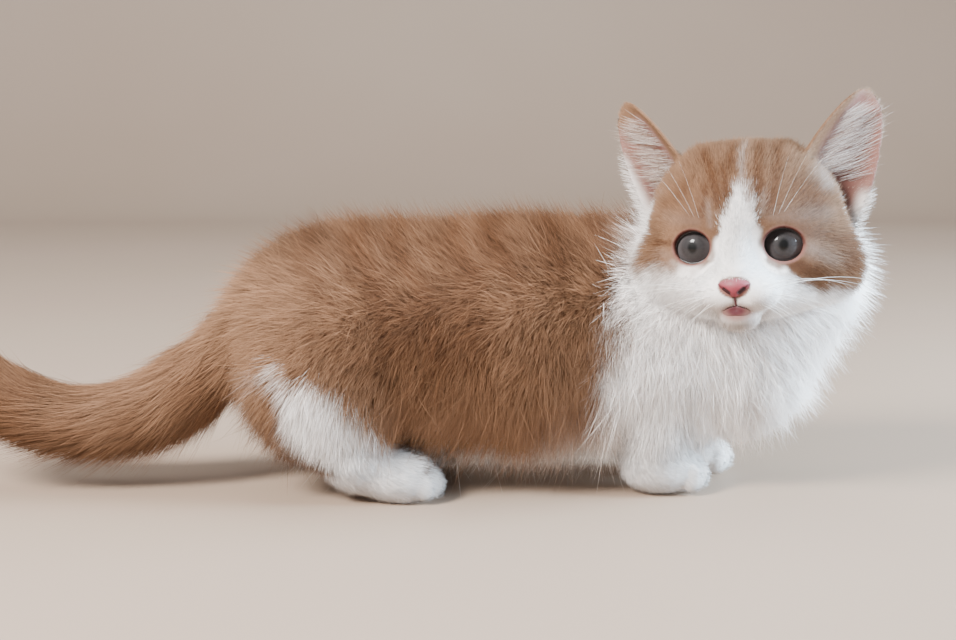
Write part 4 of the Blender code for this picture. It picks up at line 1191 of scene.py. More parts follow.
def cells(p, size):
    """Number of the nearest centre; each cube of a grid holds one, jittered."""
    base = np.floor(p / size)
    best = np.full(len(p), np.inf)
    chosen = np.zeros((len(p), 3))
    steps = np.stack(np.meshgrid(*([np.arange(-1, 2)] * 3), indexing="ij"), -1).reshape(-1, 3)
    for step in steps:
        corner = base + step
        mixed = np.sin(corner @ SCATTER) * SCATTER_SIZE
        centre = (corner + (mixed - np.floor(mixed))) * size
        distance = ((p - centre) ** 2).sum(1)
        closer = distance < best
        best[closer] = distance[closer]
        chosen[closer] = corner[closer]
    return np.unique(chosen, axis=0, return_inverse=True)[1].ravel()


def gather(values, number):
    """Mean of the values that share a number, given back to each of them."""
    counts = np.bincount(number)
    means = np.stack([np.bincount(number, column) / counts for column in values.T], 1)
    return means[number]


# %% Building tufts
# The first handle's steeper angle, how flat a tuft's rings are, how far its
# surface leans out of the coat, and the lowest point of any hair
STEEPER = np.radians(16)
FLAT, LEAN, LOWEST = 0.6, 0.5, 0.0002
# Size of a tuft's spot on the unwrap, across and along
SPOT = (0.0014, 0.0028)


def spike_faces(count, rings, blunt):
    """Quads and triangles of equal spikes, as numbers of their corners."""
    each = 3 * len(rings) + (1 if blunt else 2)
    base = 0 if blunt else 1
    last = base + 3 * (len(rings) - 1)
    turn = ((0, 1), (1, 2), (2, 0))
    ends = [(2, 1, 0)] if blunt else [(base + b, base + a, 0) for a, b in turn]
    ends += [(last + a, last + b, each - 1) for a, b in turn]
    rows = [base + 3 * r for r in range(len(rings) - 1)]
    sides = [(row + a, row + b, row + 3 + b, row + 3 + a) for row in rows for a, b in turn]
    first = (np.arange(count) * each)[:, None]
    quads = (first + np.array(sides, int).reshape(1, -1)).reshape(-1, 4)
    return quads, (first + np.array(ends).reshape(1, -1)).reshape(-1, 3)


def unwrap_spikes(piece, spots, along):
    """A map that gives each spike its spot, across by corner and along it."""
    count, each = along.shape
    across = np.tile(np.arange(each) % 3 * SPOT[0], (count, 1))
    patch = np.stack([across, along * SPOT[1]], -1)
    patch = (spots[:, None, :] + patch - SPOT[0]).reshape(-1, 2)
    layer = piece.data.uv_layers.new(name="OFBake")
    corners = np.empty(len(piece.data.loops), np.int32)
    piece.data.loops.foreach_get("vertex_index", corners)
    layer.uv.foreach_set("vector", patch[corners].astype(np.float32).ravel())


def wear(piece, material):
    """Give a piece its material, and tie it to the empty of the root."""
    piece.data.materials.append(material)
    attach(piece, "root")
    return piece


def tufts(name, roots, normals, lie, hair, rings, spots, extras, cell, sink=0.0006):
    """A piece of spikes on curves of second degree from root to tip.

    Hair holds length, rise, width and clump of each.  The first handle stands
    steeper than the tip, by 16 degrees.  Each ring has three points at a third
    of a turn from each other, on a flat oval.
    """
    length, rise, width, clump = hair
    count, blunt = len(roots), rings[0][0] == 0
    lie = unit(lie - normals * (lie * normals).sum(1)[:, None])
    steep = rise + STEEPER
    handle = np.cos(steep)[:, None] * lie + np.sin(steep)[:, None] * normals
    reach = np.cos(rise)[:, None] * lie + np.sin(rise)[:, None] * normals
    start = roots - normals * sink
    tip = start + reach * (length + sink)[:, None]
    tip = tip + clump[:, None] * (gather(tip, cells(roots, cell)) - tip)
    middle = start + handle * (length * 0.5)[:, None]
    points, along, surface = ([], [], []) if blunt else ([start], [0], [normals])
    roll = RANDOM.uniform(-0.6, 0.6, count)
    for s, share in rings:
        place = (1 - s) ** 2 * start + 2 * s * (1 - s) * middle + s * s * tip
        forward = unit((1 - s) * (middle - start) + s * (tip - middle))
        side = unit(np.cross(normals, forward))
        out = np.cross(forward, side)
        for corner in range(3):
            angle = roll + np.pi * (0.5 + 2 * corner / 3)
            spoke = np.cos(angle)[:, None] * side + FLAT * np.sin(angle)[:, None] * out
            points.append(place + spoke * (width * 0.5 * share)[:, None])
            along.append(s)
            surface.append(unit(unit(spoke) * LEAN + normals))
    points.append(tip)
    along.append(1)
    surface.append(unit(0.4 * unit(tip - middle) + normals))
    each = len(points)
    points = np.stack(points, 1).reshape(-1, 3)
    points[:, 2] = np.maximum(points[:, 2], LOWEST)
    piece = add_mesh(name, points + SHIFT, *spike_faces(count, rings, blunt))
    along = np.tile(np.array(along, float), (count, 1))
    give(piece, "along", along.ravel())
    for key, value in extras.items():
        give(piece, key, np.repeat(value, each))
    unwrap_spikes(piece, spots, along)
    piece.data.normals_split_custom_set_from_vertices(np.stack(surface, 1).reshape(-1, 3))
    return wear(piece, coat_material)


# %% [markdown]
# ## Where and how the hair grows
#
# Roots are scattered over the skin's triangles by area.  The hair runs from
# the nose back over the head, along the body to the tail, down the legs and
# out along the toes.

# %% Roots on the skin
skin_mesh.calc_loop_triangles()
corners = np.empty(len(skin_mesh.loop_triangles) * 3, np.int32)
skin_mesh.loop_triangles.foreach_get("vertices", corners)
corners = corners.reshape(-1, 3)
corner_points = skin_points[corners]
outlook = np.cross(corner_points[:, 1] - corner_points[:, 0], corner_points[:, 2] - corner_points[:, 0])
areas = np.linalg.norm(outlook, axis=1) / 2
middles = corner_points.mean(1)
face_part = skin_shares[corners].mean(1).argmax(1)
face_bare, face_inner, face_deep = (values[corners].mean(1) for values in (bare, inner, hollow_shade_and_lid))
print("skin area in cm2:", round(float(areas.sum() * 1e4), 1))


def scatter(chosen, count):
    """Places, normals and shares of random roots on the chosen triangles."""
    weights = areas * chosen
    picked = RANDOM.choice(len(areas), count, p=weights / weights.sum())
    a, b = RANDOM.random((2, count))
    over = a + b > 1
    a, b = np.where(over, 1 - a, a), np.where(over, 1 - b, b)
    share = np.stack([1 - a - b, a, b], 1)[:, :, None]
    ring = corners[picked]
    p, n, part = ((values[ring] * share).sum(1) for values in (skin_points, skin_normals, skin_shares))
    return p, unit(n), part


# %% [markdown]
# A cat's hair all leans one way at each place.  The whorls are simple on so
# small an animal: away from nose and eyes, back and down over the flank, down
# on the bib, and down the legs.


# %% Lie of the hair
def eye_distance(q):
    """Distance from the nearer eye's opening, in openings, and away from it."""
    best, away = np.full(len(q), 9.0), np.zeros((len(q), 3))
    for side in (-1, 1):
        e = to_eye(q, side)
        ring = openings(e) + 4 * (e[:, 2] < 0)
        flat = unit(e * (1, 1, 0)) @ eye_axes(side).T
        closer = ring < best
        best[closer], away[closer] = ring[closer], flat[closer]
    return best, away


def head_lie(q):
    """Away from the nose, drooping on the cheeks, and away from the eyes."""
    lie = unit(q - np.array((0, 0.036, -0.011)))
    lie[:, 2] -= 0.55 * ramp(np.abs(q[:, 0]), 0.014, 0.028) * ramp(q[:, 2], 0.008, -0.008)
    ring, away = eye_distance(q)
    near = ramp(ring, 2.1, 1.15)[:, None]
    return unit(unit(lie) * (1 - near) + away * near * 1.5)


def body_lie(p):
    """Backwards, more and more downwards on the flank, down on the bib."""
    low = ramp(p[:, 2], 0.088, 0.045)
    ahead = ramp(p[:, 0], -0.045, 0.010)
    back = np.stack([-1 + (0.25 + 0.50 * ahead) * low, 0 * low, -0.12 - (0.60 + 0.35 * ahead) * low], 1)
    bib = np.stack([0.30 + 0 * low, np.clip(p[:, 1] / 0.04, -1, 1) * 0.35, -1 + 0 * low], 1)
    front = ramp(p[:, 0], 0.060, 0.088)[:, None]
    return unit(back * (1 - front) + bib * front)


def leg_lie(p):
    """Down the leg, then forwards along the toes."""
    paw = ramp(p[:, 2], 0.020, 0.009)[:, None]
    down = np.broadcast_to((-0.15, 0.0, -1.0), p.shape)
    return unit(down * (1 - paw) + np.array((1, 0, -0.35)) * paw)


def lie_at(p, part):
    """The lie of the coat, mixed from the lies of the parts of the body."""
    q = to_head(p)
    ears = 0
    for index, side in EARS:
        _, _, outward, _, up = ear_axes(side)
        aside = 0.25 + 0.9 * ear_fringe(*on_ear(q, side), side)
        ears = ears + part[:, index, None] * ((up + aside[:, None] * outward) @ HEAD_AXES.T)
    legs = part[:, 5:].sum(1)[:, None]
    lie = part[:, :1] * (head_lie(q) @ HEAD_AXES.T) + ears + part[:, 3:4] * body_lie(p)
    lie = lie + part[:, 4:5] * tail_ahead(tail_place(p)) + legs * leg_lie(p)
    wander = np.stack([ripple(p, 0.014, k) for k in range(3)], 1)
    loose = 0.06 + 0.26 * part[:, 3:4] + 0.08 * part[:, 4:5]
    stray = 0.09 + 0.21 * part[:, 3:4] + 0.06 * part[:, 4:5] + 0.08 * legs
    return unit(lie + loose * wander + stray * RANDOM.normal(size=p.shape))


# %% [markdown]
# The coat is 2 to 5 mm long on the face, 8 on the trunk, up to 18 under the
# belly and on the tail, and short on paws and ears.  Rise is the angle between
# a hair and the skin: the body's down stands out, the tail's hair lies closer.


# %% Length, rise and width of the hair
def face_length(q):
    """Length on the head, least round the eyes and the mouth."""
    rear = ramp(q[:, 1], 0.014, -0.012)
    cheek = ramp(np.abs(q[:, 0]), 0.018, 0.030) * ramp(q[:, 2], 0.006, -0.008)
    crown = bump_at(np.abs(q[:, 0]), 0.020, 0.008) * bump_at(q[:, 2], 0.026, 0.006)
    face = 0.0026 + 0.0024 * ramp(q[:, 1], 0.024, 0.006) + 0.0022 * rear
    face = face + 0.0036 * cheek * ramp(q[:, 1], 0.018, 0.0) + 0.0042 * crown
    face = face + 0.0012 * ramp(q[:, 2], -0.0245, -0.0290) * ramp(q[:, 1], 0.0, 0.010)
    beside_eye = ramp(eye_distance(q)[0], 1.2, 2.2)
    beside_mouth = ramp(np.linalg.norm(q - MOUTH_MIDDLE, axis=1), 0.004, 0.013)
    return face * (0.40 + 0.60 * beside_eye) * (0.42 + 0.58 * beside_mouth), rear, crown


def coat_at(p, normals, part):
    """Length, rise and width of the hair at each place."""
    q = to_head(p)
    face, rear, crown = face_length(q)
    bib = ramp(p[:, 0], 0.050, 0.085)
    low = ramp(-normals[:, 2], -0.35, 0.35) * ramp(p[:, 2], 0.052, 0.034) * (1 - bib)
    top = ramp(normals[:, 2], 0.1, 0.8)
    paw = ramp(p[:, 2], 0.030, 0.010)
    trunk_length = 0.0080 + 0.0016 * bib + 0.0105 * low
    leg_length = 0.0070 - 0.0034 * paw - 0.0010 * ramp(p[:, 2], 0.016, 0.008)
    tail_length = 0.0175 - 0.0050 * ramp(tail_place(p), 6.5, 8.0)
    legs = part[:, 5:].sum(1)
    ears, ear_length = part[:, 1] + part[:, 2], 0
    for index, side in EARS:
        fringe = ear_fringe(*on_ear(q, side), side)
        ear_length = ear_length + part[:, index] * (0.0019 + 0.0026 * fringe)
    length = part[:, 0] * face + ear_length + part[:, 3] * trunk_length
    length = length + part[:, 4] * tail_length + legs * leg_length
    rise = part[:, 0] * (28 + 16 * rear + 26 * crown) + ears * 22
    rise = rise + part[:, 3] * (56 + 3 * top + 2 * bib - 6 * low)
    rise = rise + part[:, 4] * (22 + 8 * ramp(-normals[:, 2], 0.0, 0.8)) + legs * (40 - 8 * paw)
    width = part[:, 0] * 0.00021 + ears * 0.00022 + part[:, 3] * 0.00023 + part[:, 4] * 0.00026
    return length, rise, width + legs * 0.00022


# %% [markdown]
# Each piece of the coat covers one part of the body.  Its tufts also get a
# spot on an unwrap of that part: round its own axis and along it.


# %% Unwraps of the parts
def round_trunk(p):
    """Half a turn round the long axis, and the place along it."""
    turn = np.abs(np.arctan2(p[:, 1], p[:, 2] - 0.055)) / np.pi
    return np.stack([turn, (p[:, 0] + 0.10) / 0.25], 1)


def round_tail(p):
    """The turn round the tail's middle line, and the place along it."""
    place = tail_place(p)
    over = unit(np.cross(tail_ahead(place), (0.0, 1.0, 0.0)))
    r = p - tail_points(place)[:, :3]
    turn = np.arctan2(r[:, 1], (r * over).sum(1)) / (2 * np.pi) + 0.5
    return np.stack([turn, place / 8], 1)


def round_head(p):
    """Longitude and latitude about the head's middle."""
    q = to_head(p)
    longitude = np.arctan2(q[:, 0], q[:, 1]) / (2 * np.pi) + 0.5
    latitude = np.arctan2(q[:, 2], np.hypot(q[:, 0], q[:, 1])) / np.pi + 0.5
    return np.stack([longitude, latitude], 1)


def round_legs(p):
    """The turn round each leg's own upright line, and the height on it."""
    hind, left = p[:, 0] < 0.01, p[:, 1] > 0
    x = np.where(hind, -0.040, 0.064)
    turn = np.arctan2(p[:, 1] - np.where(left, 0.018, -0.018), p[:, 0] - x) / (2 * np.pi) + 0.5
    return np.stack([(turn + left) / 2, (p[:, 2] / 0.07 + hind) / 2], 1)


def on_ears(p):
    """Distance across each ear and height on it, left and right apart."""
    q = to_head(p)
    left = q[:, 0] > 0
    root, _, outward, _, up = ear_axes(1)
    r = halved(q) - root
    across = np.clip((r @ outward) / 0.04 + 0.5, 0, 1)
    return np.stack([(across + left) / 2, np.clip((r @ up) / 0.05 + 0.25, 0, 1)], 1)


# %% [markdown]
# A kitten's coat is down with some longer, thinner and paler guard hairs.  A
# share of each piece's tufts is guard hair, and a last piece is all of it.
# Every tuft gets its own shade, so that the coat isn't flat.


# %% Growing one piece
def coat_shade(p, part, white, long_hair):
    """Shade of each tuft: about 1, varied singly and in patches, with painted shade on the bridge, the
    paws, the tail's outer part and the top of back and rump, and painted light low on the flank.
    """
    tangle = 0.05 + 0.05 * part[:, 3]
    shade = RANDOM.normal(1.0, 0.10, len(p)) + tangle * ripple(p, 0.007, 3) - painted_shade(p, part)
    # Painted shade over the tail's outer part, where the main light falls strongly
    shade = shade - 0.14 * part[:, 4] * ramp(p[:, 0], -0.085, -0.115)
    # Painted shade on the top of back and rump, which face the lights, and painted light low on the flank,
    # which little light reaches
    high = ramp(p[:, 2], 0.066, 0.088) * (0.6 + 0.9 * ramp(p[:, 0], -0.03, -0.07))
    shade = shade + part[:, 3] * (1 - white) * (0.18 * ramp(p[:, 2], 0.056, 0.034) - 0.34 * high)
    return np.clip(shade * np.where(long_hair, 1.45, 0.94) - 0.10 * white * (shade - 1), 0.46, 1.60)


def grow(name, slot, chosen, count, rings, unwrap, guard, clump, cell, fray=0.0018, longer=1.32, fine=0.62):
    """Scatter roots, shape their hair, and build one piece of the coat."""
    count = count
    wide = 1.0
    p, n, part = scatter(chosen, count)
    length, rise, width = coat_at(p, n, part)
    white, bars, *_ = marks(p + RANDOM.normal(scale=fray, size=p.shape), n, part)
    long_hair = RANDOM.random(count) < guard
    length = length * RANDOM.uniform(0.72, 1.08, count) * np.where(long_hair, longer, 0.95)
    rise = np.radians(np.clip(rise * RANDOM.uniform(0.70, 1.22, count), 4, 74))
    width = width * wide * RANDOM.uniform(0.80, 1.15, count) * np.where(long_hair, fine, 1.15)
    hair = (length, rise, width, clump * RANDOM.uniform(0.3, 1.2, count))
    extras = {"white": white, "bar": bars, "shade": coat_shade(p, part, white, long_hair)}
    spots = np.clip(unwrap(p), 0, 1) * 0.99 + 0.005
    piece = tufts(name, p, n, lie_at(p, part), hair, rings, spots, extras, cell)
    triangles = len(piece.data.loops) - 2 * len(piece.data.polygons)
    print(f"{name}: {count} tufts, {triangles} triangles")
    return triangles


# %% [markdown]
# Where a face is bare, no hair grows.  The ears' insides get a third as much,
# and their thin rims none on the back, so that no dark tips stand in the light.

# %% Where each piece grows
hairy = np.clip(1 - 1.15 * face_bare, 0, 1) * (face_inner < 0.3)
hairy = hairy + 0.30 * (face_inner >= 0.3) * (1 - face_deep)
hairy = hairy * (middles[:, 2] > 0.0012)
for index, side in EARS:
    h, u = on_ear(to_head(middles), side)
    behind = (outlook @ HEAD_AXES) @ ear_axes(side)[3] < 0
    hairy = hairy * ~((face_part == index) & behind & ((h > 0.84) | (np.abs(u) > 0.86)))
is_head, is_ear = face_part == 0, (face_part == 1) | (face_part == 2)
is_trunk, is_tail, is_leg = face_part == 3, face_part == 4, face_part >= 5
right, rump = middles[:, 1] < 0, middles[:, 0] < 0.030
forward = to_head(middles)[:, 1]
rim = hairy * (is_trunk + 0.5 * is_tail) * (0.1 + 0.9 * ramp(middles[:, 2], 0.060, 0.090))
rim = rim + hairy * is_trunk * 0.7 * ramp(middles[:, 0], 0.070, 0.095)
print("triangles with hair:", int((hairy > 0).sum()), "of", len(hairy))

# %% Grow the coat
# Rings of a tuft: place along it and share of its width
ONE, TWO, THREE = ((0.0, 1.0),), ((0.42, 1.0),), ((0.28, 1.0), (0.66, 0.75))
# Rings, unwrap, share of guard hair, how far tips are drawn together and over
# what size, and where it isn't as usual, fray of the marks and guard hair
FLANK, CHEST = (ONE, round_trunk, 0.30, 0.14, 0.0026), (ONE, round_trunk, 0.25, 0.08, 0.0026)
TAIL_HAIR = (TWO, round_tail, 0.28, 0.12, 0.0036)
FACE, NAPE = (ONE, round_head, 0.05, 0.2, 0.0020, 0.0007), (TWO, round_head, 0.08, 0.25, 0.0026)
ON_EARS, LEGS = (ONE, on_ears, 0.05, 0.15, 0.002, 0.0005), (ONE, round_legs, 0.10, 0.12, 0.0026)
GUARD = (TWO, round_trunk, 1.0, 0.0, 0.0026, 0.0018, 1.75, 0.75)
# Name, slot, where and how many
COAT = (
    ("coat_flank_right", "coat_orange", hairy * is_trunk * right * rump, 48000, *FLANK),
    ("coat_flank_left", "coat_orange", hairy * is_trunk * ~right * rump, 40000, *FLANK),
    ("coat_chest_right", "coat_white", hairy * is_trunk * right * ~rump, 42000, *CHEST),
    ("coat_chest_left", "coat_white", hairy * is_trunk * ~right * ~rump, 38000, *CHEST),
    ("coat_tail", "coat_orange", hairy * is_tail, 32500, *TAIL_HAIR),
    ("coat_face", "coat_white", hairy * is_head * (forward > -0.004), 49000, *FACE),
    ("coat_nape", "coat_orange", hairy * is_head * (forward <= 0.002), 20000, *NAPE),
    ("coat_ears", "coat_orange", hairy * is_ear, 16000, *ON_EARS),
    ("coat_legs", "coat_white", hairy * is_leg, 44000, *LEGS),
    ("coat_guard", "coat_orange", rim, 9000, *GUARD),
)
print("coat:", sum(grow(*row) for row in COAT), "triangles")

# %% [markdown]
# ## Eyes
#
# A kitten's iris is grey-blue until about three months.  The ball is one
# glossy piece whose colours follow the angle from the gaze; a thin dark rim
# and a pink edge frame it, as the lids' margins do.


# %% Rings of points and tubes
def grid_faces(rows, columns, closed_rows=False):
    """Quads between neighbouring rows of points, each row a closed ring."""
    r = np.arange(rows if closed_rows else rows - 1)[:, None] * columns
    ahead = (r + columns) % (rows * columns)
    c = np.arange(columns)[None, :]
    right = (c + 1) % columns
    return np.stack([r + c, r + right, ahead + right, ahead + c], -1).reshape(-1, 4)


def end_fans(rows, columns):
    """Triangles from the first and last ring to the two points after them."""
    c = np.arange(columns)
    right = (c + 1) % columns
    first, last = rows * columns, (rows - 1) * columns
    front = np.stack([np.full(columns, first), right, c], 1)
    rear = np.stack([np.full(columns, first + 1), last + c, last + right], 1)
    return np.concatenate([front, rear])


def turned_out(points, faces, middle):
    """Faces in the order that makes the first one look away from a middle."""
    a, b, c = points[faces[0, [0, 1, -1]]]
    inwards = np.cross(b - a, c - a) @ (a - middle) < 0
    return faces[:, ::-1] if inwards else faces


def tube(path, radii, closed, sides=10, flat=1.0, normals=None):
    """A round tube of rings square to a path; open ends close to a point."""
    path = np.asarray(path, float)
    if closed:
        forward = unit(np.roll(path, -1, 0) - np.roll(path, 1, 0))
    else:
        forward = unit(np.gradient(path, axis=0))
    hint = np.broadcast_to((0.13, 0.31, 0.94), path.shape) if normals is None else normals
    side = unit(np.cross(forward, hint))
    out = np.cross(side, forward)
    angle = np.linspace(0, 2 * np.pi, sides, endpoint=False)[None, :, None]
    spoke = np.cos(angle) * side[:, None] + flat * np.sin(angle) * out[:, None]
    points = (path[:, None] + spoke * np.asarray(radii)[:, None, None]).reshape(-1, 3)
    quads = grid_faces(len(path), sides, closed)
    if closed:
        return points, quads, np.zeros((0, 3), int)
    return np.concatenate([points, path[:1], path[-1:]]), quads, end_fans(len(path), sides)


# %% Eyeballs and the rims of the lids
BALL_ROWS, BALL_COLUMNS, RIM_POINTS = 48, 64, 72
IRIS_RADIUS, PUPIL_RADII = 0.0058, (0.0013, 0.0016)


def eyeball(name, side, node_name):
    """A sphere of rings round the gaze, bulging at the cornea by 0.35 mm."""
    polar = np.linspace(0, np.pi, BALL_ROWS + 2)[1:-1, None]
    turn = np.linspace(0, 2 * np.pi, BALL_COLUMNS, endpoint=False)[None, :]
    radius = EYE_RADIUS + CORNEA_BULGE * ramp(polar, 0.85, 0.25) + 0 * turn
    across = radius * np.sin(polar)
    e = np.stack([across * np.cos(turn), across * np.sin(turn), radius * np.cos(polar)], -1)
    e = np.concatenate([e.reshape(-1, 3), [(0, 0, radius[0, 0]), (0, 0, -EYE_RADIUS)]])
    points = from_eye(e, side)
    middle = points[:-2].mean(0)
    quads = turned_out(points, grid_faces(BALL_ROWS, BALL_COLUMNS), middle)
    triangles = turned_out(points, end_fans(BALL_ROWS, BALL_COLUMNS), middle)
    piece = add_mesh(name, points + SHIFT, quads, triangles)
    turn, behind = np.arctan2(e[:, 1], e[:, 0]), e[:, 2] < 0
    give(piece, "out", np.hypot(e[:, 0], e[:, 1]) / IRIS_RADIUS + 2 * behind)
    give(piece, "turn", np.cos(3 * turn) * 0.4 + turn)
    give(piece, "pupil", np.hypot(e[:, 0] / PUPIL_RADII[0], e[:, 1] / PUPIL_RADII[1]) + 9 * behind)
    wear(piece, eye_material)
    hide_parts(node_name)


def lid_rim(name, side):
    """A thin tube on the ball, along an oval with a small inner corner."""
    turn = np.linspace(0, 2 * np.pi, RIM_POINTS, endpoint=False)
    inner = np.clip(np.cos(turn - np.radians(196)), 0, 1) ** 10
    a = EYE_OPENING[0] * (1 + 0.13 * inner) * 0.985
    flat = np.stack([a * np.cos(turn), EYE_OPENING[1] * np.sin(turn) * 0.985 * (1 - 0.04 * inner)], 1)
    depth = np.sqrt((EYE_RADIUS + LID_RIM_RADIUS) ** 2 - (flat**2).sum(1))
    path = from_eye(np.concatenate([flat, depth[:, None]], 1), side)
    normals = unit(path - from_head(np.multiply(EYE_CENTRE, (side, 1, 1))))
    radii = np.full(RIM_POINTS, LID_RIM_RADIUS)
    points, quads, triangles = tube(path, radii, True, 12, 0.8, normals)
    if side == 1:
        quads = quads[:, ::-1]
    piece = add_mesh(name, points + SHIFT, quads, triangles)
    give(piece, "pink", ramp(openings(to_eye(to_head(points), side)), 1.02, 1.09))
    wear(piece, lid_material)


SIDES = (("left", 1), ("right", -1))
for label, side in SIDES:
    eyeball(f"eyeball_{label}", side, f"eye_{label}")
    lid_rim(f"lid_rim_{label}", side)
print("eyes: balls of", 2000 * EYE_RADIUS, "mm, open to", [2000 * half for half in EYE_OPENING], "mm")

# %% [markdown]
# ## Nose
#
# The nose leather is its own small form, a shield with two nostrils and their
# creases.  It is worked out as a distance, as the skin is, because its hollows
# would be hard to lay a grid over.  A fuzz of fine hairs hides its upper edge.


# %% Nose leather
NOSE_STEP, NOSE_STEPS = 0.00022, 72
# Half width of the shield by height, from its foot to its top
SHIELD = ((-1, -0.1, 0.25, 0.6, 1), (0.30, 0.68, 0.78, 0.66, 0.50))
SHIELD_WIDER = 1.45


def slit(q, start, end, width, front):
    """Distance to a line across the face, open to the front of a depth."""
    r = halved(q)[..., [0, 2]] - start
    along = np.subtract(end, start)
    t = np.clip((r @ along) / (along @ along), 0, 1)
    r = r - t[..., None] * along
    return np.sqrt((r**2).sum(-1) + np.clip(front - q[..., 1], 0, None) ** 2) - width


def nose_leather(p):
    """A shield: wide at the wings, narrowing by a straight line to the lip."""
    q = to_head(p)
    centre, radii = NOSE
    height = np.clip((q[..., 2] - centre[2]) / radii[2], -1, 1)
    narrow = 1 / np.interp(height, *SHIELD)
    shaped = np.concatenate([q[..., :1] * narrow[..., None], q[..., 1:]], -1)
    d = mass(shaped, (centre, (radii[0] * SHIELD_WIDER, radii[1], radii[2])))
    d = carve(d, -slit(q, NOSTRIL_INNER, NOSTRIL_OUTER, NOSTRIL_RADIUS, 0.0348), 0.0004)
    return carve(d, -slit(q, NOSTRIL_OUTER, NOSE_WING, 0.0003, 0.0346), 0.0004)


lines = [np.arange(-0.008, 0.008, NOSE_STEP)[:NOSE_STEPS] + c for c in from_head(NOSE[0])]
points, faces = cover(sample(nose_leather, lines), lines)
nose_piece = add_mesh("nose_leather", points + SHIFT, faces)
q = to_head(points)
# Painted shade in the nostrils, and half as much in the creases
hole = ramp(slit(q, NOSTRIL_INNER, NOSTRIL_OUTER, 0, 0.0), 0.0010, 0.0004)
crease = ramp(slit(q, NOSTRIL_OUTER, NOSE_WING, 0, 0.0), 0.0007, 0.0002)
give(nose_piece, "deep", np.maximum(hole, 0.55 * crease))
give(nose_piece, "pale", ramp(q[:, 2], -0.0170, -0.0136))
wear(nose_piece, nose_material)
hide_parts("nose")
print("nose:", len(points), "points")

# %% Fuzz over the nose's upper edge
FUZZ_COUNT, FUZZ_LOW, FUZZ_HIGH = 150, -0.0152, -0.0126
rim = np.flatnonzero((q[:, 2] > FUZZ_LOW) & (q[:, 1] > NOSE[0][1] - 0.0010))
chance = ramp(q[rim, 2], FUZZ_LOW, FUZZ_HIGH)
picked = RANDOM.choice(rim, FUZZ_COUNT, p=chance / chance.sum())
out = unit((q[picked] - NOSE[0]) / np.square(NOSE[1])) @ HEAD_AXES.T
up = np.broadcast_to(HEAD_AXES[:, 2], out.shape) + RANDOM.normal(scale=0.2, size=out.shape)
extras = {
    "white": np.full(FUZZ_COUNT, 0.45),
    "bar": np.zeros(FUZZ_COUNT),
    "shade": RANDOM.normal(1.15, 0.05, FUZZ_COUNT),
}
spots = np.stack([q[picked, 0] / 0.02 + 0.5, (q[picked, 2] + 0.02) / 0.02], 1)
length = RANDOM.uniform(0.0011, 0.0022, FUZZ_COUNT)
rise = np.radians(RANDOM.uniform(6, 20, FUZZ_COUNT))
width = np.full(FUZZ_COUNT, 0.00008)
hair = (length, rise, width, 0 * width)
tufts("nose_fuzz", points[picked], out, up, hair, THREE, spots, extras, 0.002, 0.0001)
print("fuzz:", FUZZ_COUNT, "hairs")


# %% [markdown]
# ## Lips
#
# The mouth is closed: a dark line along its groove, one up to the nose, and the
# edge of the lower lip as a small pad.  They are laid on the skin by moving
# their points along the face's direction until they touch it.


# %% Lips
LINE_RADIUS, PAD_ROWS, PAD_COLUMNS = 0.00024, 24, 40
PAD_HALF_WIDTH, PAD_HALF_HEIGHT, PAD_LIFT, PAD_LOWER = 0.0044, 0.0014, 0.0004, 0.0015
PAD_EDGE = (0.0046, 0.0030)


def on_face(q, lift):
    """Points moved along the face's direction until they lie on the skin."""
    q = np.array(q, float)
    for _ in range(40):
        q[:, 1] += 0.7 * (lift - (skull(q) + coat_depth(q)))
    return q


across = np.linspace(-MOUTH_HALF, MOUTH_HALF, 49) * 0.6
line = on_face(np.stack([across, 0.027 + 0 * across, mouth_height(np.abs(across))], 1), -0.0001)
radii = LINE_RADIUS * np.clip(1 - (across / MOUTH_HALF) ** 2, 0.05, 1)
points, quads, triangles = tube(from_head(line), radii, False)
lips = [add_mesh("lip_line", points + SHIFT, quads, triangles)]

polar = np.linspace(0, np.pi, PAD_ROWS + 2)[1:-1, None]
turn = np.linspace(0, 2 * np.pi, PAD_COLUMNS, endpoint=False)[None, :]
x = PAD_HALF_WIDTH * np.sin(polar) * np.cos(turn)
z = PAD_HALF_HEIGHT * np.sin(polar) * np.sin(turn) - PAD_LOWER + MOUTH_TOP - 0.10 * np.abs(x)
pad = on_face(np.stack([x, 0.027 + 0 * x, z], -1).reshape(-1, 3), 0.0)
pad[:, 1] += (PAD_LIFT * np.cos(polar) + 0 * turn).ravel()
ends = on_face(np.array([(0, 0.027, MOUTH_TOP - PAD_LOWER)] * 2), 0.0) + [(0, 0.0005, 0), (0, -0.0005, 0)]
points = from_head(np.concatenate([pad, ends]))
quads, triangles = grid_faces(PAD_ROWS, PAD_COLUMNS), end_fans(PAD_ROWS, PAD_COLUMNS)
lips.append(add_mesh("lip_lower", points + SHIFT, quads, triangles))
edge = np.hypot(pad[:, 0] / PAD_EDGE[0], (pad[:, 2] - MOUTH_TOP + 0.0012) / PAD_EDGE[1])
give(lips[-1], "edge", np.concatenate([ramp(edge, 0.32, 1.00), [0, 0]]))

height = np.linspace(NOSE[0][2] - 0.0026, MOUTH_TOP + 0.0002, 16)
split = on_face(np.stack([0 * height, 0.030 + 0 * height, height], 1), -0.0001)
points, quads, triangles = tube(from_head(split), np.full(16, LINE_RADIUS), False)
lips.append(add_mesh("lip_split", points + SHIFT, quads, triangles))
for piece in lips:
    wear(piece, lip_material)
print("lips:", len(lips), "pieces, the mouth", 2000 * MOUTH_HALF, "mm wide")


# %% [markdown]
# ## Whiskers
#
# Whiskers are stiff tapering hairs, here 0.14 mm thick at the root, in three
# rows of four on each pad, and three finer ones over each eye.  They droop a
# little at their ends.


# %% Whiskers
WHISKER_WIDTH, BROW_WIDTH = 0.00014, 0.00005
ROWS, IN_ROW, BROW_COUNT = 3, 4, 3


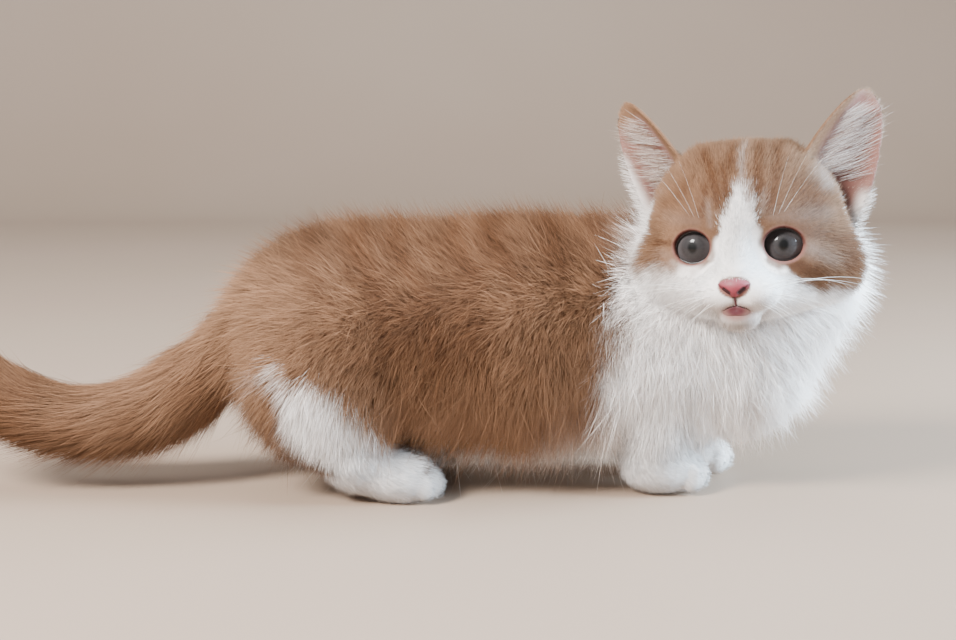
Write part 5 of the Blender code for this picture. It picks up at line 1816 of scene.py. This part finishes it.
def hair_set(name, roots, ends, sag, width):
    """Fine tapering hairs on curves of second degree, in one piece."""
    all_points, all_quads, all_triangles, total = [], [], [], 0
    s = np.linspace(0, 1, 10)[:, None]
    for root, end, droop in zip(from_head(roots), from_head(ends), sag):
        middle = (root + end) / 2 + (0, 0, droop)
        path = (1 - s) ** 2 * root + 2 * s * (1 - s) * middle + s * s * end
        points, quads, triangles = tube(path, width * 0.5 * (1 - 0.85 * s[:, 0]), False, 4)
        all_points.append(points)
        all_quads.append(quads + total)
        all_triangles.append(triangles + total)
        total += len(points)
    points, quads, triangles = (np.concatenate(part) for part in (all_points, all_quads, all_triangles))
    wear(add_mesh(name, points + SHIFT, quads, triangles), whisker_material)


for label, side in SIDES:
    row, place = np.divmod(np.arange(ROWS * IN_ROW), IN_ROW)
    q = np.stack([side * (0.0052 + 0.0021 * place), 0.029 - 0.0009 * place, -0.0176 - 0.0017 * row], 1)
    roots = on_face(q, -0.0003)
    length = 0.031 + 0.0035 * place + RANDOM.uniform(-0.004, 0.004, len(q))
    ahead = (-0.42 if side > 0 else -0.05) - 0.10 * place
    spread = np.stack([side * (0.80 + 0 * place), ahead, 0.02 - 0.38 * row - 0.12 * place / 3], 1)
    ends = roots + unit(spread + RANDOM.normal(scale=0.06, size=spread.shape)) * length[:, None]
    droop = 0.0050 + RANDOM.uniform(0, 0.003, len(q))
    hair_set(f"whiskers_{label}", roots, ends, droop, WHISKER_WIDTH)
    k = np.arange(BROW_COUNT)
    q = np.stack([side * (0.0115 + 0.0016 * k), 0.020 - 0.0008 * k, 0.0048 + 0.0006 * k], 1)
    roots = on_face(q, -0.0003)
    spread = np.stack([side * (0.30 + 0.18 * k), 0.12 - 0.06 * k, 1 - 0.08 * k], 1)
    ends = roots + unit(spread) * (0.020 + 0.003 * k)[:, None]
    hair_set(f"brow_whiskers_{label}", roots, ends, np.full(BROW_COUNT, 0.002), BROW_WIDTH)
print("whiskers:", ROWS * IN_ROW, "a side, and", BROW_COUNT, "over each eye")

# %% [markdown]
# ## Hair in the ears
#
# Long pale hairs grow on the inner edge of the ear and lie across its cup.
# They keep dust out, and let the pink skin behind them show through.

# %% Ear hair
EAR_HAIRS = 600
# Lowest height, start across, pull upwards and less white of each ear
EAR_HAIR = {1: (0.0, -0.54, 1.15, 0), -1: (-0.12, -0.58, 0.65, 0.08)}
for label, side in SIDES:
    root, height, outward, facing, up = ear_axes(side)
    low, start, pull, less = EAR_HAIR[side]
    h = RANDOM.uniform(low, 0.68, EAR_HAIRS)
    u = start + 0.95 * RANDOM.random(EAR_HAIRS) ** 1.5
    bowl = ear_cup(h) * (u**2 - EAR_CUP_REST)
    q = root + up * (h * height)[:, None] + outward * (u * ear_half(h, side))[:, None]
    q = q + facing * (bowl + EAR_THICKNESS)[:, None]
    lie = outward * 1.0 + up * (pull + 0.7 * h)[:, None] + facing * 0.10
    lie = lie + RANDOM.normal(scale=0.22, size=q.shape)
    length = (0.0135 - 0.006 * np.clip(h, 0, 1)) * RANDOM.uniform(0.6, 1.1, EAR_HAIRS)
    rise = np.radians(RANDOM.uniform(10, 32, EAR_HAIRS))
    normals = np.broadcast_to(facing, q.shape) @ HEAD_AXES.T
    extras = {
        "white": RANDOM.uniform(0.08, 0.56, EAR_HAIRS) - less,
        "bar": np.zeros(EAR_HAIRS),
        "shade": RANDOM.normal(0.95, 0.10, EAR_HAIRS),
    }
    spots = np.stack([(u + 1) / 2.2, (h + 0.35) / 1.2], 1) * 0.98 + 0.01
    width = RANDOM.uniform(0.00008, 0.00014, EAR_HAIRS)
    hair = (length, rise, width, RANDOM.uniform(0.0, 0.15, EAR_HAIRS))
    lie = lie @ HEAD_AXES.T
    tufts(f"ear_hair_{label}", from_head(q), normals, lie, hair, THREE, spots, extras, 0.003)
print("ear hair:", EAR_HAIRS, "in each ear")

# %% [markdown]
# ## Finish the skin
#
# Until here the skin lay in the place of the named sizes, where roots and marks
# are worked out.  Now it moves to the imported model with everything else, and
# stands in for all solids of flesh.

# %% Place the skin
skin_mesh.vertices.foreach_set("co", (skin_points + SHIFT).astype(np.float32).ravel())
skin_mesh.update()
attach(skin_piece, "root")
flesh_nodes = [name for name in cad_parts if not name.startswith("eye_") and name != "nose"]
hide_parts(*flesh_nodes)
print("the skin stands in for", len(flesh_nodes), "solids")

# %% [markdown]
# ## Stage, light and camera
#
# A pale floor turns up into a backdrop in one wide bend, so that no edge shows
# behind the kitten.  Its matt paint has clouds a third of a metre wide.

# %% Stage
FLOOR_FRONT, BEND_START, BEND_RADIUS, BACKDROP_TOP, HALF_WIDTH = -1.2, 1.2, 0.5, 2.2, 3.0
floor_material, tree, shader = new_material("studio_floor", Roughness=0.6)
cloud = patches(tree, "TexNoise", 3, 1000)
tree.links.new(layered(tree, "floor", (cloud, "floor_pale")), shader.inputs["Base Color"])
bend = np.linspace(0, np.pi / 2, 24)
curve = np.stack([BEND_START + BEND_RADIUS * np.sin(bend), BEND_RADIUS - BEND_RADIUS * np.cos(bend)], 1)
profile = np.concatenate([[(FLOOR_FRONT, 0.0)], curve, [(BEND_START + BEND_RADIUS, BACKDROP_TOP)]])
across = np.tile((-HALF_WIDTH, HALF_WIDTH), len(profile))
points = np.column_stack([across, np.repeat(profile, 2, axis=0)])
quads = np.arange(len(profile) - 1)[:, None] * 2 + np.array([[0, 1, 3, 2]])
floor = add_mesh("floor", points, quads)
floor.data.materials.append(floor_material)
floor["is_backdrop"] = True
print("floor:", len(quads), "faces")


# %% [markdown]
# The main light comes from the left of the camera, in front.  A cooler one from
# the kitten's front brightens its chest, and a faint broad one from above lies
# on its back.  Soft daylight from all round fills the shadows.


# %% Lights
def area_light(name, place, target, size, power, colour):
    """A round light that looks at a target."""
    light = bpy.data.lights.new(name, "AREA")
    light.shape = "DISK"
    light.size, light.energy, light.color = size, power, colour
    lamp = bpy.data.objects.new(name, light)
    lamp.location = place
    lamp.rotation_euler = (Vector(target) - Vector(place)).to_track_quat("-Z", "Y").to_euler()
    bpy.context.scene.collection.objects.link(lamp)


middle = (0.03, 0.0, 0.06)
area_light("key", (-0.70, -0.72, 0.80), middle, 0.40, 56.0, (1.0, 0.97, 0.93))
area_light("side", (1.0, -0.15, 0.45), middle, 0.6, 62.0, (0.64, 0.83, 1.0))
area_light("top", (0.0, 0.15, 1.15), middle, 0.9, 5.0, (1.0, 1.0, 1.0))
world = bpy.data.worlds.new("studio")
world.use_nodes = True
background = world.node_tree.nodes["Background"]
background.inputs["Color"].default_value = (0.80, 0.82, 0.85, 1.0)
background.inputs["Strength"].default_value = 0.95
bpy.context.scene.world = world
print("lights:", len(bpy.data.lights))

# %% [markdown]
# The camera stands at the kitten's right, a little above its back, and sees it
# from the side, with the tail's end out of the picture.

# %% Camera
AZIMUTH, ELEVATION, DISTANCE = np.radians(-2.0), np.radians(8.0), 0.559
LENS, SENSOR = 60.0, 36.0
target = np.array((0.0, 0.0, 0.0588)) + SHIFT
level = np.array([np.sin(AZIMUTH), -np.cos(AZIMUTH), 0]) * np.cos(ELEVATION)
back = level + (0, 0, np.sin(ELEVATION))
camera_data = bpy.data.cameras.new("camera")
camera_data.lens, camera_data.sensor_width = LENS, SENSOR
camera = bpy.data.objects.new("camera", camera_data)
camera.location = target + back * DISTANCE
camera.rotation_euler = Vector(-back).to_track_quat("-Z", "Y").to_euler()
bpy.context.scene.collection.objects.link(camera)
bpy.context.scene.camera = camera
print("camera:", DISTANCE, "m away")

# %% [markdown]
# The dressed kitten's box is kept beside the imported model's, to show how far
# the hair reaches past the solids.

# %% Size of the dressed kitten
VISUAL_BOX = [list(corner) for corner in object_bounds()]
for axis in range(3):
    below = round(1000 * (CAD_BOX[0][axis] - VISUAL_BOX[0][axis]), 1)
    above = round(1000 * (VISUAL_BOX[1][axis] - CAD_BOX[1][axis]), 1)
    print("XYZ"[axis], "below by", below, "mm, above by", above, "mm")
